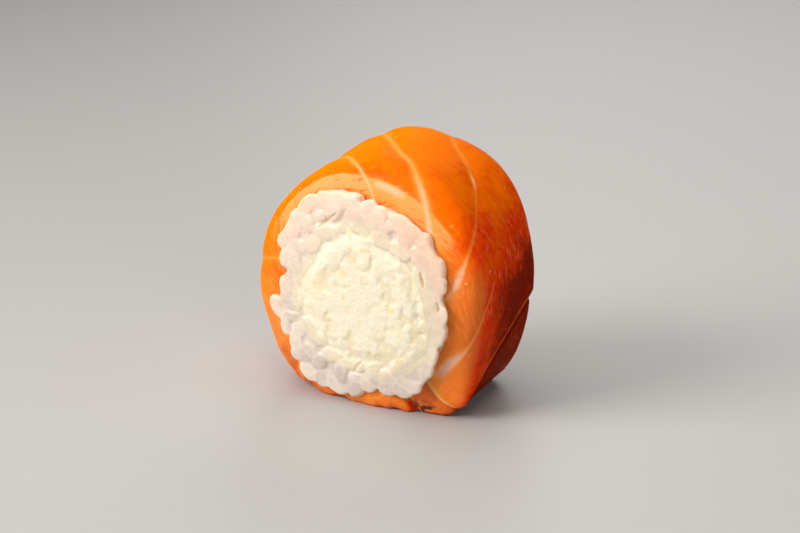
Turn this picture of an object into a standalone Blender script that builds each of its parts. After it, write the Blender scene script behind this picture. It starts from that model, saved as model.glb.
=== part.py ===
"""One piece of a salmon and cream cheese roll, lying on its side as it is served.

A salmon slice is wrapped round a ring of rice, and the rice round a core of cream cheese. A short
second slice fills the gap between the two ends of the first, low on the right.

Metres, +Z up. The roll's axis runs along Y and the cut face that shows looks towards -Y. The origin
is on the ground under the middle of the piece. A clock angle is counted in degrees from the top,
clockwise as seen from -Y, so 90 is the right side, 180 the foot and 270 the left side.
"""

import math
import random

import bmesh
import bpy
from mathutils import Euler, Matrix, Vector, noise

# The whole piece
SALMON_WIDTH = 0.0250  # from the front rim to the back rim, along Y
AXIS_X = 0.0004  # puts the middle of the finished piece over the origin
AXIS_HEIGHT = 0.0194  # the axis above the ground, half way along
AXIS_RISE = 0.087  # the axis climbs this much for each metre towards the back
AXIS_DRIFT = -0.120  # and leans this much to the left
FIT_GAP = 0.0003  # clear space between two pieces that touch

# Outlines across the axis: (waves round the clock, share of the radius, clock angle of a crest)
WRAP_RADIUS = 0.0230
WRAP_WAVES = ((2, 0.019, 49), (3, 0.030, 28), (4, 0.026, 53), (5, 0.013, 2))
RICE_RADIUS = 0.0176
RICE_WAVES = ((3, 0.020, 87), (4, 0.040, 63), (9, 0.010, 20))
RICE_SHIFT = (-0.0009, 0.0006)  # the ring's centre off the wrap's, in X and Z
CHEESE_RADIUS = 0.0113
CHEESE_WAVES = ((2, 0.050, 105), (3, 0.030, 0), (5, 0.022, 50), (7, 0.014, 10))
CHEESE_SHIFT = (0.0007, 0.0004)

# The foot, where the soft piece is pressed flat by its own weight
FOOT_ROUNDING = 0.0010  # how gradually the round side turns into the flat
SALMON_UNDER_RICE = 0.0026  # thickness of salmon between the rice and the ground

# The main salmon slice, by clock angle from its left end to its right end
SLICE_START = 157.0
SLICE_END = 497.0
SLANT_BLEND = 150.0  # the slant of an end fades over this much of the slice
START_SLANT = 900.0  # degrees that the left end moves back round the clock for each metre along Y
END_SLANT = 1650.0
END_TIP_Y = -0.0110  # the right end's foremost corner
END_CORNER = 2000.0  # degrees that it is cut back for each metre in front of that corner
FLAP_LIFT = 0.0011  # the corner stands off the roll by this much
FLAP_REACH = 20.0
FLAP_LENGTH = 0.0085  # along Y, back from the corner
RIM_WANDER = 0.0004  # unevenness of the two cut rims, along Y
FRONT_RIM_WAVES = ((3, 1.0, 347),)  # waves round the clock, share of RIM_WANDER, clock angle of a crest
BACK_RIM_WAVES = ((2, 1.0, 0), (5, 1.0, 346))
CORNER_RETREAT = 0.0011  # the front rim draws back between these clock angles, low on the right
CORNER_RISE = (100.0, 134.0)
CORNER_FALL = (150.0, 175.0)

# The rounded lips at both rims, as deep along Y as this
LIP_DEPTH = 0.0056
LIP_DEPTH_AT_FOOT = 0.0012
FOOT_SPREAD = (0.3, 0.9)  # how far down the round side the foot starts and is complete, from 0 to 1

# Laps, where an end of the main slice covers the short slice
LAP = 15.0
LAP_SETBACK = 0.0032  # the laps lie this far behind the rims, and so don't show there
UNDER_LAP = (0.55, 0.42, 0.28, 0.14, 0.0)  # columns of the short slice under a lap, as shares of it
LAP_SHARE = 0.48  # share of the thickness that the short slice takes there
END_REACH = 4.0  # the last degrees of a slice, which round off its cut end
END_THINNING = 0.65

# Fat lines: white seams between the muscle blocks, each a shallow groove across the slice
FAT_LINE_ANGLES = (17.0, 47.0, 72.0, 118.0, 205.0, 240.0, 276.0, 322.0)  # at the front rim
FAT_LINE_SLANT = 2600.0  # degrees that a line moves back round the clock for each metre along Y
GROOVE_DEPTH = 0.00045
GROOVE_WIDTH = 0.0016

# The short slice
SHORT_RECESS = 0.0011  # its rims lie this far behind the main slice's

# Rice
RICE_PROUD = 0.0019  # the grains stand out of the salmon's rim by this much
CORE_SUNK = 0.0011  # the packed rice under the grains, below the grains' tops
CORE_INSET = 0.0002
GRAIN_LENGTH = 0.0058
GRAIN_WIDTH = 0.0030
GRAIN_FULLNESS = 0.45  # makes a grain blunter than an ellipsoid
GRAIN_TILT = 28  # a grain leans at most this many degrees out of the cut face
GRAIN_ROWS = (0.16, 0.50, 0.88)  # rows of grains, as shares of the way from cheese to salmon
GRAIN_SPACING = 0.0037
SPILL = 0.0004  # the grains may bulge this far over the salmon's rim
FIT_TRIES = 30
SHRINK = 0.96  # a grain that still touches cheese or salmon is moved and made this much smaller

# Cream cheese
CHEESE_PROUD = 0.0013
CHEESE_RELIEF = 0.00055
CRUMBS_PER_METRE = (300, 650)  # coarse and fine crumbs of the torn face
CHEESE_EDGE = 0.0009  # the cut face rounds off this deep where it meets the rice

# Fineness of the solids
SLICE_COLUMNS = 92
SHORT_COLUMNS = 22
ROWS_FROM_RIM = (0.0001, 0.0007, 0.0017, 0.0032, 0.0056, 0.0074)  # the first rows in from either rim
SLICE_ROWS = 2 * len(ROWS_FROM_RIM)
CORE_STEPS = 48
CHEESE_STEPS = 36
CHEESE_RINGS = 7
GRAIN_SIDES = 5
GRAIN_RINGS = 4
WELD = 0.000001
SEED = 7


def clear_scene():
    for thing in list(bpy.data.objects):
        bpy.data.objects.remove(thing, do_unlink=True)


def material(name, colour, roughness):
    made = bpy.data.materials.new(name)
    made.use_nodes = True
    shader = made.node_tree.nodes["Principled BSDF"]
    shader.inputs["Base Color"].default_value = (*colour, 1.0)
    shader.inputs["Roughness"].default_value = roughness
    shader.inputs["Metallic"].default_value = 0.0
    return made


def finish_object(name, bm, finish):
    """Turns a bmesh into a named, smooth-shaded object with its own material."""
    bmesh.ops.recalc_face_normals(bm, faces=bm.faces)
    if bm.calc_volume(signed=True) < 0:
        bmesh.ops.reverse_faces(bm, faces=bm.faces)
    mesh = bpy.data.meshes.new(name)
    bm.to_mesh(mesh)
    bm.free()
    mesh.shade_smooth()
    mesh.set_sharp_from_angle(angle=math.radians(50))
    mesh.materials.append(finish)
    made = bpy.data.objects.new(name, mesh)
    bpy.context.scene.collection.objects.link(made)
    return made


def smooth_step(value, low, high):
    t = min(1.0, max(0.0, (value - low) / (high - low)))
    return t * t * (3 - 2 * t)


# Shapes across the axis


def waves_at(angle, waves):
    return sum(share * math.cos(math.radians(count * (angle - crest))) for count, share, crest in waves)


def wavy(angle, waves):
    """1, made to swell and shrink round the clock by the given waves."""
    return 1 + waves_at(angle, waves)


def pressed(height, floor):
    """The height after the piece has settled on a floor: flat below it, with a soft bend above."""
    over = height - floor
    if over >= FOOT_ROUNDING:
        return height
    if over <= -FOOT_ROUNDING:
        return floor
    return floor + (over + FOOT_ROUNDING) ** 2 / (4 * FOOT_ROUNDING)


def axis_at(y, shift=(0.0, 0.0)):
    return Vector((AXIS_X + AXIS_DRIFT * y + shift[0], y, AXIS_HEIGHT + AXIS_RISE * y + shift[1]))


def outward(angle):
    return Vector((math.sin(math.radians(angle)), 0.0, math.cos(math.radians(angle))))


def on_section(angle, y, radius, shift=(0.0, 0.0), floor=0.0):
    """The point at a clock angle and radius from the sloping axis, at depth y, pressed on the floor."""
    place = axis_at(y, shift) + radius * outward(angle)
    place.z = pressed(place.z, floor)
    return place


def rice_outside(angle, y, inset=0.0):
    radius = RICE_RADIUS * wavy(angle, RICE_WAVES) - inset
    return on_section(angle, y, radius, RICE_SHIFT, SALMON_UNDER_RICE + FIT_GAP + inset)


def cheese_outside(angle, y, share=1.0, outset=0.0):
    radius = share * CHEESE_RADIUS * wavy(angle, CHEESE_WAVES) + outset
    return on_section(angle, y, radius, CHEESE_SHIFT)


def clock_of(place, centre):
    """The clock angle and the radius of a place about a centre on the axis."""
    away = place - centre
    return math.degrees(math.atan2(away.x, away.z)), math.hypot(away.x, away.z)


# Salmon


def fat_grooves(angle, y):
    """How far the fat lines sink the salmon's outside at this place."""
    depth = 0.0
    for line in FAT_LINE_ANGLES:
        crossing = line - FAT_LINE_SLANT * (y + SALMON_WIDTH / 2)
        away = (angle - crossing + 180) % 360 - 180
        arc = math.radians(away) * WRAP_RADIUS
        depth += GROOVE_DEPTH * math.exp(-((arc / GROOVE_WIDTH) ** 2))
    return depth


def wrap_inside(angle, y):
    radius = RICE_RADIUS * wavy(angle, RICE_WAVES) + FIT_GAP
    return on_section(angle, y, radius, RICE_SHIFT, SALMON_UNDER_RICE)


def wrap_outside(angle, y):
    return on_section(angle, y, WRAP_RADIUS * wavy(angle, WRAP_WAVES) - fat_grooves(angle, y))


def low_on_the_right(angle):
    """1 low on the right, where the ends meet, and 0 elsewhere."""
    return smooth_step(angle % 360, *CORNER_RISE) * (1 - smooth_step(angle % 360, *CORNER_FALL))


def at_foot(angle):
    """1 at the foot and 0 from the sides up."""
    return smooth_step(-math.cos(math.radians(angle)), *FOOT_SPREAD)


def rims(angle, recess=0.0):
    """Where a slice's front and back rims are along Y at a clock angle."""
    front = -SALMON_WIDTH / 2 + CORNER_RETREAT * low_on_the_right(angle)
    front += RIM_WANDER * waves_at(angle, FRONT_RIM_WAVES)
    back = SALMON_WIDTH / 2 + RIM_WANDER * waves_at(angle, BACK_RIM_WAVES)
    return front + recess, back - recess


def across_slice(row, angle, recess):
    """Where a row of a slice runs along Y, and its share of the full thickness, for the rounded lips."""
    front, back = rims(angle, recess)
    if row == SLICE_ROWS / 2:
        return (front + back) / 2, 1.0
    lip = LIP_DEPTH + (LIP_DEPTH_AT_FOOT - LIP_DEPTH) * at_foot(angle)
    inward = ROWS_FROM_RIM[row] if row < SLICE_ROWS / 2 else ROWS_FROM_RIM[SLICE_ROWS - row]
    share = math.sqrt(1 - (1 - min(1.0, inward / lip)) ** 2)
    return (front + inward if row < SLICE_ROWS / 2 else back - inward), share


def end_edge(y):
    """How far the right end's edge is from SLICE_END, in degrees: a corner near the front, then a slant."""
    return -END_SLANT * max(0.0, y - END_TIP_Y) - END_CORNER * max(0.0, END_TIP_Y - y)


def start_edge(y):
    return -START_SLANT * (y + SALMON_WIDTH / 2)


def slanted(angle, y):
    """Turns an angle along the slice into one that follows the slant of the nearer end."""
    to_end = smooth_step(angle, SLICE_END - SLANT_BLEND, SLICE_END - LAP)
    to_start = 1 - smooth_step(angle, SLICE_START + LAP, SLICE_START + SLANT_BLEND)
    return angle + to_end * end_edge(y) + to_start * start_edge(y)


def end_swell(angle, start, end):
    """Under 1 in the last few degrees of a slice, which makes its cut end round."""
    near = min(1.0, min(angle - start, end - angle) / END_REACH)
    return 1 - END_THINNING * (1 - math.sqrt(1 - (1 - near) ** 2))


def lap_share(angle):
    """The share of the thickness that the short slice takes under each end of the main slice."""
    from_start = 1 - smooth_step(angle, SLICE_START, SLICE_START + LAP)
    from_end = smooth_step(angle, SLICE_END - LAP, SLICE_END)
    return LAP_SHARE * max(from_start, from_end)


def behind_rims(angle, y):
    """0 at the rims and 1 from where the laps start."""
    front, back = rims(angle)
    return smooth_step(min(y - front, back - y), LAP_SETBACK / 5, LAP_SETBACK)


def flap_lift(angle, y):
    """How far the main slice's right end stands off the roll, most at its front corner."""
    along = smooth_step(angle, SLICE_END - FLAP_REACH, SLICE_END)
    return FLAP_LIFT * along * (1 - smooth_step(y, END_TIP_Y, END_TIP_Y + FLAP_LENGTH))


def slab(columns, rows):
    """A closed block one face thick: X counts columns, Y counts rows, and Z is 0 inside and 1 outside."""
    bm = bmesh.new()
    bmesh.ops.create_cube(bm, size=1.0, matrix=Matrix.Translation((0.5, 0.5, 0.5)))
    for axis, count in ((0, columns), (1, rows)):
        along = [edge for edge in bm.edges if abs(edge.verts[0].co[axis] - edge.verts[1].co[axis]) > 0.5]
        bmesh.ops.subdivide_edges(bm, edges=along, cuts=count - 1, use_grid_fill=True)
    bmesh.ops.scale(bm, vec=(columns, rows, 1), verts=bm.verts)
    return bm


def denser_at_ends(share):
    return share - 0.5 * math.sin(2 * math.pi * share) / (2 * math.pi)


def main_slice():
    """The slice as a flat slab, then wrapped round the rice."""
    bm = slab(SLICE_COLUMNS, SLICE_ROWS)
    for vert in bm.verts:
        column, row, side = (round(number) for number in vert.co)
        along = SLICE_START + (SLICE_END - SLICE_START) * denser_at_ends(column / SLICE_COLUMNS)
        y, share = across_slice(row, along, 0.0)
        angle = slanted(along, y)
        local = 0.5 + (share * side - 0.5) * end_swell(along, SLICE_START, SLICE_END)
        low = lap_share(along) * behind_rims(along, y)
        depth = low + (1 - low) * local
        place = wrap_inside(angle, y).lerp(wrap_outside(angle, y), depth)
        place += flap_lift(along, y) * outward(angle)
        place.z = max(place.z, SALMON_UNDER_RICE * (1 - depth))
        vert.co = place
    return finish_object("salmon_slice", bm, material("salmon", (0.86, 0.24, 0.05), 0.32))


def short_slice_columns():
    """The short slice's columns, each as (clock angle, share of the thickness, recess of its rims).

    It runs under the main slice's right end, shows in the gap, and runs under the left end.
    """
    gap_low, gap_high = SLICE_END, SLICE_START + 360
    step_aside = math.degrees(1.6 * FIT_GAP / WRAP_RADIUS)
    thinner = 1.5 * FIT_GAP / (WRAP_RADIUS - RICE_RADIUS)
    under_end = [gap_low - LAP * share for share in UNDER_LAP]
    under_start = [gap_high + LAP * share for share in reversed(UNDER_LAP)]
    shown = SHORT_COLUMNS - len(under_end) - len(under_start)
    low, high = gap_low + step_aside, gap_high - step_aside
    in_gap = [low + (high - low) * i / shown for i in range(shown + 1)]
    recess = LAP_SETBACK + FIT_GAP
    columns = [(angle, lap_share(angle) - thinner, recess) for angle in under_end]
    columns += [(angle, 1.0, SHORT_RECESS) for angle in in_gap]
    columns += [(angle, lap_share(angle - 360) - thinner, recess) for angle in under_start]
    return columns


def slanted_in_gap(angle, y):
    """As slanted, for the short slice, whose two ends follow the edges that cover them."""
    to_start = smooth_step(angle, SLICE_END + 1, SLICE_START + 359)
    return angle + (1 - to_start) * end_edge(y) + to_start * start_edge(y)


def short_slice():
    columns = short_slice_columns()
    bm = slab(len(columns) - 1, SLICE_ROWS)
    for vert in bm.verts:
        column, row, side = (round(number) for number in vert.co)
        along, height, recess = columns[column]
        y, share = across_slice(row, along, recess)
        angle = slanted_in_gap(along, y)
        vert.co = wrap_inside(angle, y).lerp(wrap_outside(angle, y), height * share * side)
    return finish_object("salmon_short_slice", bm, material("salmon_dark", (0.66, 0.15, 0.05), 0.34))


# Rice


def spin_round_axis(profile, steps):
    """Turns a profile of (radius, y) points once round the Y axis."""
    bm = bmesh.new()
    verts = [bm.verts.new((0.0, y, radius)) for radius, y in profile]
    edges = [bm.edges.new(pair) for pair in zip(verts, verts[1:])]
    turn = 2 * math.pi
    bmesh.ops.spin(
        bm, geom=verts + edges, cent=(0, 0, 0), axis=(0, 1, 0), angle=turn, steps=steps, use_merge=True
    )
    bmesh.ops.remove_doubles(bm, verts=bm.verts, dist=WELD)
    return bm


def face_at(side, proud):
    """A cut face's place along Y. side is -1 at the front and 1 at the back."""
    return side * (SALMON_WIDTH / 2 + proud)


def rice_core():
    """The packed ring of rice, a little below the grains that show. In its profile the radius is
    0 at the cheese and 1 at the salmon, moved out by 1 to keep clear of the axis."""
    back, front = (face_at(side, RICE_PROUD - CORE_SUNK) for side in (1, -1))
    profile = [(1 + share, front) for share in (0, 0.5, 1)] + [(1 + share, back) for share in (1, 0.5, 0)]
    bm = spin_round_axis(profile + profile[:1], CORE_STEPS)
    for vert in bm.verts:
        y = vert.co.y
        angle, radius = clock_of(vert.co, Vector((0, y, 0)))
        inner = cheese_outside(angle, y, outset=FIT_GAP)
        vert.co = inner.lerp(rice_outside(angle, y, inset=CORE_INSET), radius - 1)
    return finish_object("rice", bm, material("rice", (0.86, 0.78, 0.66), 0.45))


def ring_limits(place):
    """How far a place lies outside the ring of rice, beneath it, and inside it, as three lengths."""
    beyond_rim = SALMON_WIDTH / 2 + RIM_WANDER + FIT_GAP
    spill = SPILL * smooth_step(abs(place.y), beyond_rim, beyond_rim + SPILL)
    angle, radius = clock_of(place, axis_at(place.y, RICE_SHIFT))
    outside = radius - RICE_RADIUS * wavy(angle, RICE_WAVES) - spill
    beneath = SALMON_UNDER_RICE + FIT_GAP - spill - place.z
    angle, radius = clock_of(place, axis_at(place.y, CHEESE_SHIFT))
    inside = CHEESE_RADIUS * wavy(angle, CHEESE_WAVES) + FIT_GAP - radius
    return outside, beneath, inside


def fit_into_ring(bm, middle):
    """Moves a grain until it is clear of cheese and salmon, and shrinks it where the ring is narrow."""
    bmesh.ops.translate(bm, vec=middle, verts=bm.verts)
    out = (middle - axis_at(middle.y)).normalized()
    for _ in range(FIT_TRIES):
        places = [vert.co for vert in bm.verts]
        places += [(edge.verts[0].co + edge.verts[1].co) / 2 for edge in bm.edges]
        outside, beneath, inside = (max(excess) for excess in zip(*map(ring_limits, places)))
        if max(outside, beneath, inside) <= 0:
            return
        push = out * (max(0, inside) - max(0, outside)) + Vector((0, 0, max(0, beneath)))
        bmesh.ops.translate(bm, vec=push, verts=bm.verts)
        middle = middle + push
        shrink = Matrix.Diagonal((SHRINK, SHRINK, SHRINK))
        bmesh.ops.transform(bm, matrix=shrink.to_4x4(), space=Matrix.Translation(-middle), verts=bm.verts)


def add_grain(home, middle, turn, length, width):
    """One grain, as a blunt ellipsoid with few sides."""
    bm = bmesh.new()
    bmesh.ops.create_uvsphere(bm, u_segments=GRAIN_SIDES, v_segments=GRAIN_RINGS, radius=0.5)
    for vert in bm.verts:
        vert.co.xy *= 1 + GRAIN_FULLNESS * abs(vert.co.z)
    bmesh.ops.scale(bm, vec=(width, width, length), verts=bm.verts)
    bmesh.ops.rotate(bm, cent=(0, 0, 0), matrix=turn.to_matrix(), verts=bm.verts)
    fit_into_ring(bm, middle)
    mesh = bpy.data.meshes.new("grain")
    bm.to_mesh(mesh)
    bm.free()
    home.objects.link(bpy.data.objects.new("grain", mesh))


def add_grains(home):
    """Rows of grains lying on both cut faces, each turned its own way."""
    draw = random.Random(SEED)
    for side in (-1, 1):
        for row, share in enumerate(GRAIN_ROWS):
            row_radius = CHEESE_RADIUS + share * (RICE_RADIUS - CHEESE_RADIUS)
            count = round(2 * math.pi * row_radius / GRAIN_SPACING)
            for step in range(count):
                angle = 360 * (step + 0.5 * (row % 2) + draw.uniform(-0.25, 0.25)) / count
                length = GRAIN_LENGTH * draw.uniform(0.85, 1.1)
                width = GRAIN_WIDTH * draw.uniform(0.9, 1.08)
                tip, roll = draw.uniform(-GRAIN_TILT, GRAIN_TILT), draw.uniform(0, 180)
                turn = Euler((math.radians(tip), math.radians(roll), 0))
                y = face_at(side, RICE_PROUD - width / 2 - draw.uniform(-0.0002, 0.0005))
                middle = cheese_outside(angle, y).lerp(rice_outside(angle, y), share)
                add_grain(home, middle, turn, length, width)


def keep_largest_body(bm):
    """Fills the sealed hollows and drops the loose scraps that fusing leaves."""
    left = set(bm.faces)
    bodies = []
    while left:
        to_visit = [left.pop()]
        body = list(to_visit)
        while to_visit:
            shared = [edge for edge in to_visit.pop().edges if len(edge.link_faces) == 2]
            fresh = {face for edge in shared for face in edge.link_faces} & left
            left -= fresh
            body += fresh
            to_visit += fresh
        bodies.append(body)
    bodies.sort(key=len)
    for body in bodies[:-1]:
        bmesh.ops.delete(bm, geom=body, context="FACES")


def rice():
    """The packed ring with all grains fused on, as one body."""
    core = rice_core()
    home = bpy.data.collections.new("grains")
    bpy.context.scene.collection.children.link(home)
    add_grains(home)
    union = core.modifiers.new("fuse", "BOOLEAN")
    union.operation = "UNION"
    union.operand_type = "COLLECTION"
    union.collection = home
    union.solver = "EXACT"
    graph = bpy.context.evaluated_depsgraph_get()
    fused = bpy.data.meshes.new_from_object(core.evaluated_get(graph))
    core.modifiers.clear()
    for grain in list(home.objects):
        bpy.data.objects.remove(grain, do_unlink=True)
    bpy.data.collections.remove(home)
    bm = bmesh.new()
    bm.from_mesh(fused)
    keep_largest_body(bm)
    bm.to_mesh(fused)
    bm.free()
    core.data = fused
    return core


# Cream cheese


def cheese():
    """A crumbly core that runs right through, with rough cut faces."""
    shares = [ring / CHEESE_RINGS for ring in range(CHEESE_RINGS + 1)]
    profile = [(share, face_at(-1, CHEESE_PROUD)) for share in shares]
    profile += [(share, face_at(1, CHEESE_PROUD)) for share in reversed(shares)]
    bm = spin_round_axis(profile, CHEESE_STEPS)
    for vert in bm.verts:
        side = math.copysign(1, vert.co.y)
        angle, share = clock_of(vert.co, Vector((0, vert.co.y, 0)))
        place = cheese_outside(angle, vert.co.y, share)
        coarse, fine = (noise.noise(place * count) for count in CRUMBS_PER_METRE)
        place.y += side * (CHEESE_RELIEF * (coarse + 0.5 * fine) - CHEESE_EDGE * share**6)
        vert.co = place
    return finish_object("cream_cheese", bm, material("cream_cheese", (0.92, 0.85, 0.62), 0.6))


clear_scene()
main_slice()
short_slice()
rice()
cheese()
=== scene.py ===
# %% [markdown]
# # A piece of salmon and cream cheese roll
#
# This lesson dresses a small piece of food: a salmon slice wrapped round rice, with a core of cream
# cheese. The imported solids give every size and place. Here each of them gets its real surface: fat
# lines and muscle fibres, grains of rice that stick together, and a crumbly cut through cheese.
#
# The first cell loads the solids as a fixed frame.

# %% Load the frame
import math
import random

import bmesh
import bpy
import numpy as np
from mathutils import Euler, Matrix, Vector, noise
from mathutils.bvhtree import BVHTree


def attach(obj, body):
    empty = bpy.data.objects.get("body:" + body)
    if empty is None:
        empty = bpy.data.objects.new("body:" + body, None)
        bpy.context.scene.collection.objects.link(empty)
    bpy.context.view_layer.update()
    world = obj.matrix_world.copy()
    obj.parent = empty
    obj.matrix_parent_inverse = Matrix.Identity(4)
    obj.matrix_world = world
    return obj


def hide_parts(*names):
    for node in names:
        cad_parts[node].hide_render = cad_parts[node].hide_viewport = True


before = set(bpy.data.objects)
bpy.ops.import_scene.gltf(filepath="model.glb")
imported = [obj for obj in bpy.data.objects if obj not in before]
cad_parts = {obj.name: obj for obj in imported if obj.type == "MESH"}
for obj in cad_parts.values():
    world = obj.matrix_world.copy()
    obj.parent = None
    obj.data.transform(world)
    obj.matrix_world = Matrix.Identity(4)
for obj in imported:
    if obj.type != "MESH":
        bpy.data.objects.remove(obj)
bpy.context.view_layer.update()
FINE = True
print("nodes:", sorted(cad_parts))

# %% [markdown]
# ## The shape across the axis
#
# The roll lies on its side. Its axis runs along Y, climbs a little towards the back and leans left.
# A place on it is given by a clock angle in degrees (0 at the top, 90 at the right side, seen from
# the shown face at -Y) and a depth along Y. The outlines are circles with a few waves in them, and
# the foot is pressed flat. These are the same numbers as in the solids, in metres, so all that is
# made here lies where they lie. Each wave has its count round the clock, its share of the radius,
# and the clock angle of a crest.

# %% The sizes of salmon, rice and cheese
SALMON_WIDTH = 0.0250
AXIS_X, AXIS_HEIGHT = 0.0004, 0.0194
AXIS_RISE, AXIS_DRIFT = 0.087, -0.120
WRAP_RADIUS = 0.0230
WRAP_WAVES = ((2, 0.019, 49), (3, 0.030, 28), (4, 0.026, 53), (5, 0.013, 2))
RICE_RADIUS = 0.0176
RICE_WAVES = ((3, 0.020, 87), (4, 0.040, 63), (9, 0.010, 20))
RICE_SHIFT = (-0.0009, 0.0006)
CHEESE_RADIUS = 0.0113
CHEESE_WAVES = ((2, 0.050, 105), (3, 0.030, 0), (5, 0.022, 50), (7, 0.014, 10))
CHEESE_SHIFT = (0.0007, 0.0004)
FIT_GAP = 0.0003
FOOT_ROUNDING = 0.0010
SALMON_UNDER_RICE = 0.0026
print("radii in mm:", [round(1000 * radius, 1) for radius in (WRAP_RADIUS, RICE_RADIUS, CHEESE_RADIUS)])

# %% [markdown]
# Soft food has no sharp borders, so nearly every rule here fades in and out. These small functions do
# that. They take whole arrays of numbers at once, which keeps a mesh of many thousand points quick to
# shape.

# %% Steps, hills, bells and waves


def smooth_step(value, low, high):
    t = np.clip((value - low) / (high - low), 0, 1)
    return t * t * (3 - 2 * t)


def hill(value, rise, fall):
    """Rises from 0 to 1 over the first range, and falls back to 0 over the second."""
    return smooth_step(value, *rise) * (1 - smooth_step(value, *fall))


def bell(away, width):
    """1 where away is 0, fading softly to both sides."""
    return np.exp(-((away / width) ** 2))


def half_turns(angle):
    """The same clock angle, counted from -180 to 180."""
    return (angle + 180) % 360 - 180


def waves_at(angle, waves):
    return sum(share * np.cos(np.radians(count * (angle - crest))) for count, share, crest in waves)


def wavy(angle, waves):
    """1, made to swell and shrink round the clock by the given waves."""
    return 1 + waves_at(angle, waves)


def noise_at(places, scale, seed=0.0):
    """Soft noise between about -1 and 1 at many places, as lumps of 1 / scale metres."""
    offset = Vector((seed, 2.3 * seed, -1.7 * seed))
    return np.array([noise.noise(Vector(place) * scale + offset) for place in places])


def unevenness(places, size, seed=0.0):
    """Soft noise of a size that is given as (height, lumps to a metre)."""
    height, count = size
    return height * noise_at(places, count, seed)


print("a step from 0 to 1 at a quarter of the way:", round(float(smooth_step(0.25, 0, 1)), 3))

# %% [markdown]
# With them a place on the roll can be worked out from its clock angle, its place along Y and its
# distance from the axis, and back again.

# %% The outlines of salmon, rice and cheese


def pressed(height, floor):
    """The height after the piece has settled on a floor: flat below it, with a soft bend above."""
    over = height - floor
    bend = floor + (over + FOOT_ROUNDING) ** 2 / (4 * FOOT_ROUNDING)
    return np.where(over >= FOOT_ROUNDING, height, np.where(over <= -FOOT_ROUNDING, floor, bend))


def on_section(angle, y, radius, shift=(0.0, 0.0), floor=0.0):
    """Points at clock angles and radii from the sloping axis, as an array of (x, y, z)."""
    x = AXIS_X + AXIS_DRIFT * y + shift[0] + radius * np.sin(np.radians(angle))
    z = AXIS_HEIGHT + AXIS_RISE * y + shift[1] + radius * np.cos(np.radians(angle))
    return np.stack(np.broadcast_arrays(x, y, pressed(z, floor)), axis=-1)


def rice_outside(angle, y, inset=0.0):
    radius = RICE_RADIUS * wavy(angle, RICE_WAVES) - inset
    return on_section(angle, y, radius, RICE_SHIFT, SALMON_UNDER_RICE + FIT_GAP + inset)


def cheese_outside(angle, y, share=1.0, outset=0.0):
    radius = share * CHEESE_RADIUS * wavy(angle, CHEESE_WAVES) + outset
    return on_section(angle, y, radius, CHEESE_SHIFT)


def off_axis(places, shift=(0.0, 0.0)):
    """How far each point lies to the right of the sloping axis, and above it."""
    x = places[:, 0] - AXIS_X - AXIS_DRIFT * places[:, 1] - shift[0]
    z = places[:, 2] - AXIS_HEIGHT - AXIS_RISE * places[:, 1] - shift[1]
    return x, z


print("wrap radius at the top, right, foot and left in mm:",
      [round(1000 * WRAP_RADIUS * wavy(angle, WRAP_WAVES), 1) for angle in (0, 90, 180, 270)])

# %% [markdown]
# ## The camera
#
# The camera looks at the cut face from 34 degrees to the right and 16 degrees above, from close by,
# through a long lens. It comes first, because it decides where fine work is seen best. A small shift
# puts the piece where it sits in the frame without turning the camera.

# %% Camera
CAMERA_TO_THE_RIGHT, CAMERA_UP = math.radians(34.3), math.radians(15.9)
CAMERA_DISTANCE = 0.420
CAMERA_TARGET = Vector((AXIS_X, 0.0, 0.023))
CAMERA_LENS = 112.9
CAMERA_SHIFT = (0.0025, -0.0165)

camera_data = bpy.data.cameras.new("camera")
camera_data.lens = CAMERA_LENS
camera_data.shift_x, camera_data.shift_y = CAMERA_SHIFT
camera_data.clip_start = 0.01
camera = bpy.data.objects.new("camera", camera_data)
bpy.context.scene.collection.objects.link(camera)
towards_camera = Vector((
    math.sin(CAMERA_TO_THE_RIGHT) * math.cos(CAMERA_UP),
    -math.cos(CAMERA_TO_THE_RIGHT) * math.cos(CAMERA_UP),
    math.sin(CAMERA_UP),
))
camera.location = CAMERA_TARGET + CAMERA_DISTANCE * towards_camera
camera.rotation_euler = (-towards_camera).to_track_quat("-Z", "Y").to_euler()
bpy.context.scene.camera = camera
print("camera at", [round(number, 3) for number in camera.location])

# %% [markdown]
# ## Floor and light
#
# Wet food is read through its highlights. One large soft light on the left in front of the cut face
# makes the broad pale sheen along the salmon's rim, and a second one above lights the top. Two weak
# ones, on the right and behind, keep those sides from going black. The floor is plain and pale.

# %% Floor, lights and surroundings
FLOOR_SIZE = 1.6


def link(thing):
    bpy.context.scene.collection.objects.link(thing)
    return thing


def shader_of(material):
    return material.node_tree.nodes["Principled BSDF"]


def new_material(name):
    material = bpy.data.materials.new(name)
    material.use_nodes = True
    return material


def soft_light(name, place, target, size, power, colour=(1.0, 1.0, 1.0)):
    """A rectangular softbox at a place, turned to its target."""
    data = bpy.data.lights.new(name, "AREA")
    data.shape = "RECTANGLE"
    data.size, data.size_y = size
    data.energy = power
    data.color = colour
    light = link(bpy.data.objects.new(name, data))
    light.location = place
    light.rotation_euler = (Vector(target) - Vector(place)).to_track_quat("-Z", "Y").to_euler()


bm = bmesh.new()
bmesh.ops.create_grid(bm, x_segments=1, y_segments=1, size=FLOOR_SIZE)
floor_mesh = bpy.data.meshes.new("floor")
bm.to_mesh(floor_mesh)
bm.free()
floor = link(bpy.data.objects.new("floor", floor_mesh))
floor_finish = new_material("floor")
shader_of(floor_finish).inputs["Base Color"].default_value = (0.44, 0.435, 0.425, 1.0)
shader_of(floor_finish).inputs["Roughness"].default_value = 0.55
floor_mesh.materials.append(floor_finish)

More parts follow.
